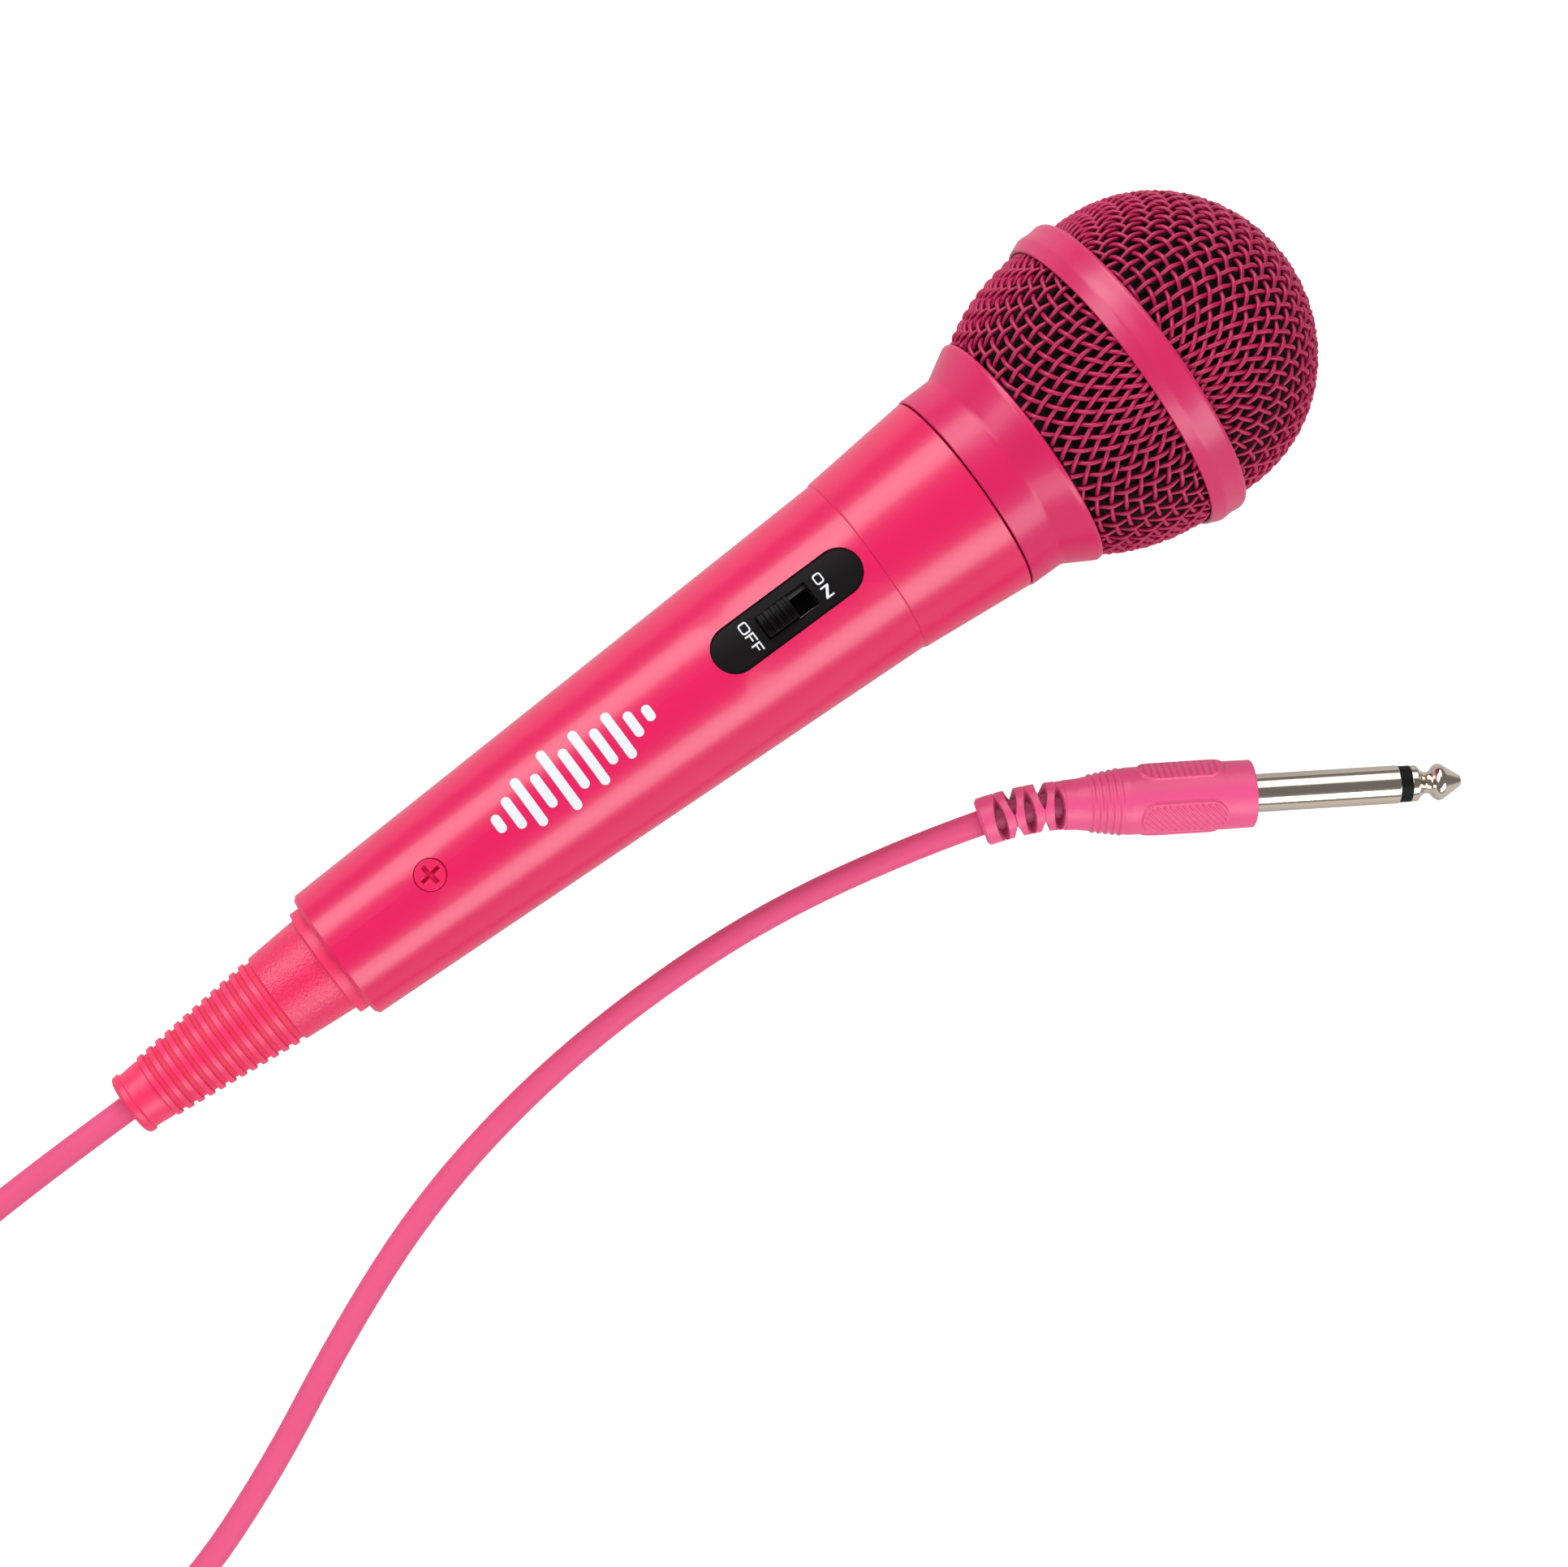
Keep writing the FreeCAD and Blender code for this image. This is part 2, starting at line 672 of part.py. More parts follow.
def head_shell():
    """Threaded insert, flared collar, lower wire cup, band and wire dome."""
    insert_outer = size.thread_radius + 1.3
    keep(
        ring(
            "insert",
            size.collar_start + 0.3,
            size.collar_start + 7,
            size.thread_radius + size.running_gap,
            insert_outer,
        ),
        "thread_insert",
        ALONG_MICROPHONE,
    )
    collar_bore = insert_outer + size.running_gap
    keep(
        turned(
            "collar",
            [
                (size.collar_start, collar_bore),
                (size.collar_start, size.collar_radius - 0.2),
                (size.collar_start + 0.2, size.collar_radius),
                (size.collar_start + 6.2, size.collar_radius + 0.05, -9.0),
                (size.collar_end - 2.6, size.rim_radius - 1.35),
                (size.collar_end - 0.5, size.rim_radius),
                (size.collar_end, size.rim_radius - 0.15),
                (size.collar_end, size.rim_radius - 1.6),
                (size.collar_start + 8.3, collar_bore + 0.4),
                (size.collar_start + 8.3, collar_bore),
            ],
        ),
        "grille_collar",
        ALONG_MICROPHONE,
    )
    wall = size.mesh_wall
    cup_top = size.dome_radius + 0.3
    cup_bulge = Size.of(34)
    keep(
        turned(
            "cup",
            [
                (size.collar_end + 0.05, size.cup_foot_radius - wall),
                (size.collar_end + 0.05, size.cup_foot_radius, cup_bulge),
                (size.band_start, cup_top),
                (size.band_start + 2.8, cup_top),
                (size.band_start + 2.8, cup_top - wall),
                (size.band_start, cup_top - wall, Size.of(0) - (cup_bulge - wall)),
            ],
        ),
        "cup_grille",
        ALONG_MICROPHONE,
    )
    band_bore = cup_top + 0.1
    keep(
        turned(
            "band",
            [
                (size.band_start, band_bore),
                (size.band_start, size.band_rear_radius - 0.95),
                (BAND_CREST, size.band_rear_radius),
                (size.band_start + 4.0, size.band_rear_radius - 0.1),
                (size.band_end - 0.6, size.band_radius),
                (size.band_end, size.band_radius - 0.45),
                (size.band_end, band_bore),
            ],
        ),
        "band_ring",
        ALONG_MICROPHONE,
    )


DOME_JOIN = 7.4
DOME_JOIN_RADIUS = 18.6
DOME_SIDE_ARC = 24.77


def dome_corners(inset, foot):
    """The dome's outline from foot to tip, inset by a wall: a side arc, then a nose arc."""
    inset = Size.of(inset)
    lean_along = 0.7286
    lean_out = 0.6848
    return [
        (foot, size.dome_radius - inset),
        (size.dome_start, size.dome_radius - inset, DOME_SIDE_ARC - inset),
        (
            size.dome_tip - DOME_JOIN - inset * lean_along,
            DOME_JOIN_RADIUS - inset * lean_out,
            nose_radius - inset,
        ),
        (size.dome_tip - inset, 0),
    ]


def head_inside():
    """The wire dome and the foam that fills the head."""
    foot = size.band_start + 3.1
    outer = dome_corners(0, foot)
    inner = dome_corners(size.mesh_wall, foot)
    back = [
        (inner[3][0], 0, Size.of(0) - (nose_radius - size.mesh_wall)),
        (inner[2][0], inner[2][1], Size.of(0) - (DOME_SIDE_ARC - size.mesh_wall)),
        (inner[1][0], inner[1][1]),
        (inner[0][0], inner[0][1]),
    ]
    keep(turned("dome", outer + back), "dome_grille", ALONG_MICROPHONE)

    foam_inset = size.mesh_wall + size.foam_gap
    cavity = 17.5
    foam_start = size.collar_end + 2.1
    foam = dome_corners(foam_inset, size.band_start)
    foam += [
        (size.dome_tip - 18.5, 0),
        (size.dome_tip - 18.5, 12.5),
        (size.dome_tip - 23.5, cavity),
        (foam_start, cavity),
        (foam_start, size.cup_foot_radius - 0.8, 33.0),
    ]
    keep(turned("foam", foam), "windscreen_foam", ALONG_MICROPHONE)


# ---------------------------------------------------------------- capsule


def capsule():
    """The moving-coil capsule on its rubber holder, seen in section from back to front."""
    start = size.capsule_start
    front = size.capsule_front
    outer = size.capsule_radius
    spigot_bore = size.thread_radius - 1.75
    seat = size.neck_end + size.thread_length + 0.1
    keep(
        turned(
            "holder",
            [
                (seat - 6.7, 10.3),
                (seat - 6.7, spigot_bore - 0.08),
                (seat, spigot_bore - 0.08),
                (seat, 15.4),
                (seat + 2.5, 15.4),
                (seat + 3.3, outer + 1.7),
                (front - 3, outer + 1.7),
                (front - 3, outer + 0.05),
                (start - 1.4, outer + 0.05),
                (start - 1.4, 10.3),
            ],
        ),
        "capsule_holder",
        ALONG_MICROPHONE,
    )
    yoke_outer = size.magnet_radius + 2.1
    frame = turned(
        "frame",
        [
            (start, yoke_outer + 0.05),
            (start, outer),
            (front - 1.35, outer),
            (front - 1.35, outer - 1.0),
            (start + 9.6, outer - 1.0),
            (start + 9.6, outer - 1.7),
            (start + 7.6, outer - 1.7),
            (start + 7.6, outer - 2.6),
            (start + 1.3, outer - 2.6),
            (start + 1.3, yoke_outer + 0.05),
        ],
    )
    keep(drilled_round(frame, outer - 3.9, Size.of(0.7), 6), "capsule_frame", ALONG_MICROPHONE)
    board = ring("board", start - 1.3, start - 0.1, yoke_outer + 0.3, outer - 0.1)
    keep(drilled_round(board, outer - 3.9, Size.of(0.75), 2), "terminal_board", ALONG_MICROPHONE)
    yoke_start = start - 3.0
    yoke_front = start + 5.2
    keep(
        turned(
            "yoke_pot",
            [
                (yoke_start, 0),
                (yoke_start, yoke_outer),
                (yoke_front, yoke_outer),
                (yoke_front, size.magnet_radius + 1.2),
                (yoke_start + 1.2, size.magnet_radius + 1.2),
                (yoke_start + 1.2, 0),
            ],
        ),
        "magnet_yoke",
        ALONG_MICROPHONE,
    )
    magnet_start = yoke_start + 1.22
    magnet_front = yoke_front - 1.9
    keep(ring("magnet_disc", magnet_start, magnet_front, 0, size.magnet_radius), "magnet",
         ALONG_MICROPHONE)
    keep(ring("pole", magnet_front + 0.02, yoke_front, 0, size.magnet_radius + 0.1), "pole_plate",
         ALONG_MICROPHONE)
    coil_front = start + 7.55
    keep(
        ring(
            "coil_former",
            yoke_front - 2.4,
            coil_front,
            size.magnet_radius + 0.4,
            size.magnet_radius + 0.85,
        ),
        "voice_coil",
        ALONG_MICROPHONE,
    )
    film = 0.2
    coil_radius = size.magnet_radius + 0.85
    rest = coil_front + 0.07
    edge = outer - 1.8
    keep(
        turned(
            "membrane",
            [
                (rest, edge),
                (rest + film, edge),
                (rest + film, coil_radius, 9.4),
                (rest + film + 1.9, 0),
                (rest + 1.9, 0, -9.2),
                (rest, coil_radius - 0.15),
            ],
        ),
        "diaphragm",
        ALONG_MICROPHONE,
    )
    keep(ring("clamp", rest + film + 0.03, start + 9.5, edge - 0.9, edge), "diaphragm_ring",
         ALONG_MICROPHONE)
    keep(ring("cloth", front - 1.95, front - 1.4, 0, outer - 1.1), "acoustic_cloth",
         ALONG_MICROPHONE)
    cover = ring("cover", front - 1.3, front, 0, outer)
    drilled_round(cover, Size.of(3.6), Size.of(0.9), 6)
    keep(cover, "capsule_cover", ALONG_MICROPHONE)
    for name, side in (("capsule_wire_hot", 1), ("capsule_wire_return", -1)):
        board_back = start.value - 1.35
        run_of(
            name,
            [
                (board_back, 8.6 * side, -1.0),
                (board_back - 13, 8.2 * side, -2.0),
                (board_back - 25, 4.6 * side, -1.5),
                (size.switch_middle.value + 4 + 2.5 * (1 - side), 1.5 * side, 1.2),
            ],
            0.55,
            ALONG_MICROPHONE,
        )


# ---------------------------------------------------------------- plug

PLUG_HEADING = -32.31
PLUG_SHOULDER = Vector(63.8, -66.2, 6.1)
ALONG_PLUG = Placement(PLUG_SHOULDER, Rotation(Vector(0, 0, 1), PLUG_HEADING))
PLUG_TAIL = 32.3
RELIEF_END = Vector(24.0, -43.2, 4.6)
JACK_FLANGE = 4.2
JACK_STEP = 0.2
JACK_ROOT = 15.0
JACK_PLACEMENT = ALONG_PLUG * Placement(Vector(-JACK_ROOT, 0, 0), Rotation())


def plug_forward():
    return ALONG_PLUG.Rotation.multVec(Vector(1, 0, 0))


def relief_elbow():
    """Where the flexible relief turns towards the ground."""
    return PLUG_SHOULDER - plug_forward() * (PLUG_TAIL + 6.5)


def plug_body():
    """The moulded grip with its inner cavity for the jack, and the bent flexible relief."""
    back = PLUG_TAIL
    cavity = 12.5
    seat = size.jack_radius.value - JACK_STEP + 0.03
    body = document.addObject("Part::Feature", "plug_grip")
    grip = [
        (-back, 0),
        (-back, size.relief_radius.value + 0.15),
        (-27.4, 4.45),
        (-18.1, 5.6),
        (-17.5, size.grip_radius.value),
        (-6.6, size.grip_radius.value),
        (-6.2, size.plug_radius.value),
        (-0.5, size.plug_radius.value),
        (0, size.plug_radius.value - 0.5),
        (0, seat),
        (-2.0, seat),
        (-2.0, JACK_FLANGE + 0.1),
        (-3.6, JACK_FLANGE + 0.1),
        (-3.6, seat),
        (-cavity, seat),
        (-cavity, 0),
    ]
    outline_wire = Part.makePolygon([Vector(x, 0, z) for x, z in grip + grip[:1]])
    solid = Part.Face(outline_wire).revolve(Vector(0, 0, 0), Vector(1, 0, 0), 360)
    solid.Placement = ALONG_PLUG
    start = PLUG_SHOULDER - plug_forward() * back
    relief = tube_shape(
        [tuple(start), tuple(relief_elbow()), tuple(RELIEF_END)],
        size.relief_radius.value,
        "plug relief",
    )
    body.Shape = solid.fuse(relief).removeSplitter()
    return keep(body, "plug_moulding", Placement())


def jack():
    """Sleeve, insulator and tip of the quarter-inch jack; only the sleeve's contact is full size."""
    radius = size.jack_radius
    narrow = radius - JACK_STEP
    bore = 1.9
    rod = 1.25
    tip_start = size.jack_sleeve_length + 2.0
    tip_end = size.jack_length

    def shifted(corners):
        return [(Size.of(along) + JACK_ROOT, *rest) for along, *rest in corners]

    keep(
        turned(
            "sleeve",
            shifted([
                (-9, bore),
                (-9, narrow),
                (-3.5, narrow),
                (-3.5, JACK_FLANGE),
                (-2.1, JACK_FLANGE),
                (-2.1, narrow),
                (0.03, narrow),
                (0.03, radius),
                (size.jack_sleeve_length, radius),
                (size.jack_sleeve_length, bore),
            ]),
        ),
        "jack_sleeve",
        JACK_PLACEMENT,
    )
    keep(
        turned(
            "insulator",
            shifted([
                (-10.2, rod + 0.03),
                (-10.2, narrow - 0.1),
                (-9.05, narrow - 0.1),
                (-9.05, bore - 0.03),
                (size.jack_sleeve_length + 0.03, bore - 0.03),
                (size.jack_sleeve_length + 0.03, narrow),
                (tip_start - 0.03, narrow),
                (tip_start - 0.03, rod + 0.03),
            ]),
        ),
        "jack_insulator",
        JACK_PLACEMENT,
    )
    keep(
        turned(
            "tip",
            shifted([
                (-12, 0),
                (-12, rod),
                (tip_start, rod),
                (tip_start, narrow),
                (tip_start + 1.1, narrow),
                (tip_start + 2.9, 1.8),
                (tip_start + 4.4, radius - 0.2, 1.3),
                (tip_start + 5.8, radius - 0.3),
                (tip_end - 0.1, 0.8),
                (tip_end, 0.65),
                (tip_end, 0),
            ]),
        ),
        "jack_tip",
        JACK_PLACEMENT,
    )


# ---------------------------------------------------------------- cord

COIL_MIDDLE = Vector(-219.2, -30.4, 0)


def coil_reach():
    """The radius of the outermost turn's middle, and of the end that lies outside the turns."""
    half_spread = size.coil_spacing.value * (TURNS_ACROSS - 1) / 2
    outermost = size.coil_mean_radius.value + half_spread
    return outermost, outermost + size.coil_spacing.value + 0.4


def put_away_coil():
    """The tied bundle of turns as one outer shape, and the tie in its groove."""
    thick = cord_radius.value
    outermost, tail_turn = coil_reach()
    inner = size.coil_mean_radius.value * 2 - outermost - thick - 0.1
    outer = outermost + thick + 0.1
    height = size.coil_spacing.value * (TURNS_ACROSS - 1) + thick * 2 + 0.2
    hollow = Part.makeCylinder(inner, height * 2, COIL_MIDDLE - Vector(0, 0, height / 2))
    turns = Part.makeCylinder(outer, height, COIL_MIDDLE).cut(hollow)
    rims = [edge for edge in turns.Edges if edge.Closed]
    turns = turns.makeFillet(1.6, rims)
    descent = Part.makeCylinder(
        tail_turn + thick + 0.1, height, COIL_MIDDLE, Vector(0, 0, 1), 180
    )
    descent.rotate(COIL_MIDDLE, Vector(0, 0, 1), 90)
    bundle = turns.fuse(descent.cut(hollow)).removeSplitter()
    strap = 0.9
    width = 9.0
    reach_in = inner - strap
    loop_outer = Part.makeBox(outer - reach_in + strap, width, height,
                              COIL_MIDDLE + Vector(reach_in, -width / 2, 0))
    loop_inner = Part.makeBox(outer - inner - strap, width, height - strap * 2,
                              COIL_MIDDLE + Vector(inner + strap, -width / 2, strap))
    tie_shape = loop_outer.cut(loop_inner)
    coil_feature = document.addObject("Part::Feature", "cord_bundle")
    coil_feature.Shape = bundle.cut(loop_outer).fuse(bundle.common(loop_inner)).removeSplitter()
    keep(coil_feature, "cord_coil", Placement())
    tie_feature = document.addObject("Part::Feature", "cord_strap")
    tie_feature.Shape = tie_shape
    keep(tie_feature, "cord_tie", Placement())
    return coil_feature


def cord():
    """The free stretches: boot to coil, and coil to plug."""
    thick = cord_radius.value
    outermost, tail_turn = coil_reach()
    bundle = put_away_coil()
    backwards = ALONG_MICROPHONE.Rotation.multVec(Vector(-1, 0, 0))
    first = tail + backwards * 18
    mic_side = [
        tuple(tail),
        tuple(first),
        (-152.0, -0.9, 2.5),
        (-172.0, 0.0, thick),
        (-196.0, COIL_MIDDLE.y + outermost, thick),
        (COIL_MIDDLE.x, COIL_MIDDLE.y + outermost + 0.4, thick),
    ]
    lead = document.addObject("Part::Feature", "cord_to_coil_run")
    lead.Shape = tube_shape(mic_side, thick, "cord_lead").cut(bundle.Shape)
    keep(lead, "cord_lead", Placement())
    plug_side = [
        (COIL_MIDDLE.x + 0.02, COIL_MIDDLE.y - tail_turn, thick + 0.02),
        (-197.0, -67.5, thick + 0.02),
        (-173.0, -69.2, thick),
        (-150.0, -67.0, thick),
        (-129.0, -59.2, thick),
        (-108.0, -48.7, thick),
        (-86.0, -39.9, thick),
        (-63.0, -35.0, thick),
        (-39.0, -33.2, thick),
        (-13.0, -34.4, thick),
        tuple(RELIEF_END + (RELIEF_END - relief_elbow()).normalize() * 11.8),
        tuple(RELIEF_END),
    ]
    tail_run = document.addObject("Part::Feature", "cord_to_plug_run")
    tail_run.Shape = tube_shape(plug_side, thick, "cord_tail")
    keep(tail_run, "cord_tail", Placement())


# ---------------------------------------------------------------- build, check and write


def build():
    handle_tube()
    strain_relief_boot()
    cord_anchor()
    anchor_screw()
    cord_inside_handle()
    switch_plate()
    switch_works()
    neck_ring()
    head_shell()
    head_inside()
    capsule()
    plug_body()
    jack()
    cord()
    document.recompute()


def check_and_write():
    for thing in document.Objects:
        if "Invalid" in thing.State or "Error" in thing.State:
            raise RuntimeError(f"{thing.Name} failed: {thing.State}")
    os.makedirs("parts", exist_ok=True)
    for piece in finished:
        shape = piece.Shape
        if shape.isNull() or not shape.isValid() or not shape.Solids:
            raise RuntimeError(f"{piece.Label} has no valid solid")
        shape.exportStep(f"parts/{piece.Label}.step")
        print(f"{piece.Label}: {len(shape.Solids)} solid, {shape.Volume:.1f} cubic mm")


build()
check_and_write()
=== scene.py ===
"""The looks of a toy microphone: woven wire head, glossy handle, slide switch, cord and plug."""
import json
import math

import bmesh
import bpy
import numpy as np
from mathutils import Matrix, Vector


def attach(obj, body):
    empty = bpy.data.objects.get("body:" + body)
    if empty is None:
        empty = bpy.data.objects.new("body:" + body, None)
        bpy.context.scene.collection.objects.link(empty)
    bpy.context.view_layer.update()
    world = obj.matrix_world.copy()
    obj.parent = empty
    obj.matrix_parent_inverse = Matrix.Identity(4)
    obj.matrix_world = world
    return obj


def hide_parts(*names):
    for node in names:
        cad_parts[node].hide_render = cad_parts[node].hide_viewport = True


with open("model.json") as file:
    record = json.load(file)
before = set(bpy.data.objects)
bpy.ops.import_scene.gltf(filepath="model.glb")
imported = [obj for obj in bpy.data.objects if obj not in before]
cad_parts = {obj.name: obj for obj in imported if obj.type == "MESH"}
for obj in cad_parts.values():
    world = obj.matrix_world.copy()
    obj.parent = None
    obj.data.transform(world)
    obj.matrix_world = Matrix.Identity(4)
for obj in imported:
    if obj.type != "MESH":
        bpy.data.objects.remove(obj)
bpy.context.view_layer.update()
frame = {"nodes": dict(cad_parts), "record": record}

MM = 0.001
TURN = 2 * math.pi

# ---- the microphone's own axis
# Stations are millimetres along the axis from the tail of the cord boot; angles start at the
# switch's side and grow towards the microphone's left.  Lengths are in millimetres, except in
# the camera, the lights and the materials, which are in metres.

unscrew = next(j for j in frame["record"]["behaviour"]["joints"] if j["name"] == "head_unscrew")
AXIS = np.array(unscrew["axis"]) / np.linalg.norm(unscrew["axis"])
LEFT = np.array([0.0, 1.0, 0.0])
ABOVE = np.cross(AXIS, LEFT)
JOINT_STATION = 170.0
TAIL = np.array(unscrew["pos_m"]) - AXIS * JOINT_STATION * MM

HANDLE_START, HANDLE_END = 40.0, 145.1
HANDLE_REAR_RADIUS, HANDLE_FRONT_RADIUS = 11.48, 15.85
NECK_SEAM, NECK_END = 145.12, 164.8
COLLAR_START, COLLAR_END = 165.06, 176.9
BAND_START, BAND_END = 194.2, 200.4
DOME_START, DOME_TIP = 200.06, 229.5
CORD_DIAMETER = 4.2
CORD_RADIUS = CORD_DIAMETER / 2


def beside_axis(along, across, above):
    """Points given by station, distance to the left and distance above the axis, in mm."""
    along, across, above = np.broadcast_arrays(along, across, above)
    return TAIL + MM * (
        along[..., None] * AXIS + across[..., None] * LEFT + above[..., None] * ABOVE
    )


def round_axis(along, radius, angle):
    """Points given by station, radius in mm and angle round the axis."""
    return beside_axis(along, radius * np.sin(angle), radius * np.cos(angle))


def handle_radius(along):
    """The handle is a straight cone from its rear edge to the neck."""
    rise = (HANDLE_FRONT_RADIUS - HANDLE_REAR_RADIUS) / (HANDLE_END - HANDLE_START)
    return HANDLE_REAR_RADIUS + rise * (along - HANDLE_START)


# ---- camera, floor and light

scene = bpy.context.scene
scene.view_settings.view_transform = "Standard"

CAMERA_PLACE = (-0.10875, -0.07374, 0.61872)
CAMERA_RIGHT = Vector((0.79767, -0.59629, 0.09028))
CAMERA_UP = Vector((0.57674, 0.79799, 0.17486))
FOCAL_LENGTH_MM, SENSOR_WIDTH_MM, CLIP_START = 88.0, 36.0, 0.02
WHITE = (1.0, 1.0, 1.0, 1.0)
ROOM_STRENGTH = 0.22
FLOOR_REACH = 12.0
FLOOR_GREY, FLOOR_ROUGHNESS = 0.30, 0.9
FLOOR_GLOW_ON_PIECES, FLOOR_GLOW_SEEN = 0.30, 0.92
# name, place, size, watts, the point it faces
SOFTBOXES = (
    ("left_softbox", (-0.10, 0.60, 0.60), (1.6, 0.42), 10.4, (0.0, 0.0, 0.0)),
    ("right_softbox", (-0.10, -0.75, 0.42), (1.6, 0.42), 10.4, (0.0, 0.0, 0.0)),
    ("front_softbox", (0.44, 0.46, 0.68), (0.6, 0.7), 2.6, (0.08, -0.08, 0.0)),
)


def place_camera():
    """A long lens almost overhead, turned so that the microphone lies across the view."""
    lens = bpy.data.cameras.new("long_lens")
    lens.sensor_width = SENSOR_WIDTH_MM
    lens.lens = FOCAL_LENGTH_MM
    lens.clip_start = CLIP_START
    camera = bpy.data.objects.new("camera", lens)
    back = CAMERA_RIGHT.cross(CAMERA_UP)
    turn = Matrix((CAMERA_RIGHT, CAMERA_UP, back)).transposed()
    camera.rotation_euler = turn.to_euler()
    camera.location = CAMERA_PLACE
    scene.collection.objects.link(camera)
    scene.camera = camera


def softbox(name, place, size, power, target):
    """A rectangular area light that faces a target point."""
    data = bpy.data.lights.new(name, "AREA")
    data.shape = "RECTANGLE"
    data.size, data.size_y = size
    data.energy = power
    lamp = bpy.data.objects.new(name, data)
    lamp.location = place
    facing = np.array(target) - np.array(place)
    lamp.rotation_euler = Vector(facing).to_track_quat("-Z", "Y").to_euler()
    scene.collection.objects.link(lamp)


def light_the_room():
    """A dim white room, a long softbox high on each side and a smaller one beyond the head."""
    world = bpy.data.worlds.new("dim_room")
    world.use_nodes = True
    background = world.node_tree.nodes["Background"]
    background.inputs["Color"].default_value = WHITE
    background.inputs["Strength"].default_value = ROOM_STRENGTH
    scene.world = world
    for row in SOFTBOXES:
        softbox(*row)


def lay_floor():
    """A wide lightbox table, whose surface is z = 0; it glows less on the pieces than seen."""
    mesh = bpy.data.meshes.new("table_top")
    r = FLOOR_REACH
    corners = [(-r, -r, 0), (r, -r, 0), (r, r, 0), (-r, r, 0)]
    mesh.from_pydata(corners, [], [(0, 1, 2, 3)])
    floor = bpy.data.objects.new("table_top", mesh)
    scene.collection.objects.link(floor)
    material = bpy.data.materials.new("white_table")
    material.use_nodes = True
    shader = material.node_tree.nodes["Principled BSDF"]
    shader.inputs["Base Color"].default_value = (FLOOR_GREY, FLOOR_GREY, FLOOR_GREY, 1.0)
    shader.inputs["Roughness"].default_value = FLOOR_ROUGHNESS
    shader.inputs["Emission Color"].default_value = WHITE
    path = material.node_tree.nodes.new("ShaderNodeLightPath")
    glow = material.node_tree.nodes.new("ShaderNodeMapRange")
    glow.inputs["To Min"].default_value = FLOOR_GLOW_ON_PIECES
    glow.inputs["To Max"].default_value = FLOOR_GLOW_SEEN
    material.node_tree.links.new(path.outputs["Is Camera Ray"], glow.inputs["Value"])
    material.node_tree.links.new(glow.outputs["Result"], shader.inputs["Emission Strength"])
    mesh.materials.append(material)


place_camera()
light_the_room()
lay_floor()

# ---- shared shader effects

WAVE_SCALE = 90.0


def moulding_marks():
    """Slow waviness plus fine grain of a moulded surface, as one height."""
    tree = bpy.data.node_groups.new("moulding_marks", "ShaderNodeTree")
    for label, kind in (
        ("Vector", "Vector"), ("Grain Scale", "Float"), ("Grain", "Float"), ("Waviness", "Float")
    ):
        tree.interface.new_socket(label, in_out="INPUT", socket_type="NodeSocket" + kind)
    for label in ("Height", "Patch"):
        tree.interface.new_socket(label, in_out="OUTPUT", socket_type="NodeSocketFloat")
    given, result = tree.nodes.new("NodeGroupInput"), tree.nodes.new("NodeGroupOutput")
    link = tree.links.new
    grain = tree.nodes.new("ShaderNodeTexNoise")
    grain.inputs["Detail"].default_value = 3.0
    waves = tree.nodes.new("ShaderNodeTexNoise")
    waves.inputs["Scale"].default_value = WAVE_SCALE
    waves.inputs["Detail"].default_value = 1.0
    link(given.outputs["Vector"], grain.inputs["Vector"])
    link(given.outputs["Vector"], waves.inputs["Vector"])
    link(given.outputs["Grain Scale"], grain.inputs["Scale"])
    weigh_grain = tree.nodes.new("ShaderNodeMath")
    weigh_grain.operation = "MULTIPLY"
    link(grain.outputs["Fac"], weigh_grain.inputs[0])
    link(given.outputs["Grain"], weigh_grain.inputs[1])
    weigh_waves = tree.nodes.new("ShaderNodeMath")
    weigh_waves.operation = "MULTIPLY_ADD"
    link(waves.outputs["Fac"], weigh_waves.inputs[0])
    link(given.outputs["Waviness"], weigh_waves.inputs[1])
    link(weigh_grain.outputs[0], weigh_waves.inputs[2])
    link(weigh_waves.outputs[0], result.inputs["Height"])
    link(waves.outputs["Fac"], result.inputs["Patch"])
    return tree


MOULDING_MARKS = moulding_marks()


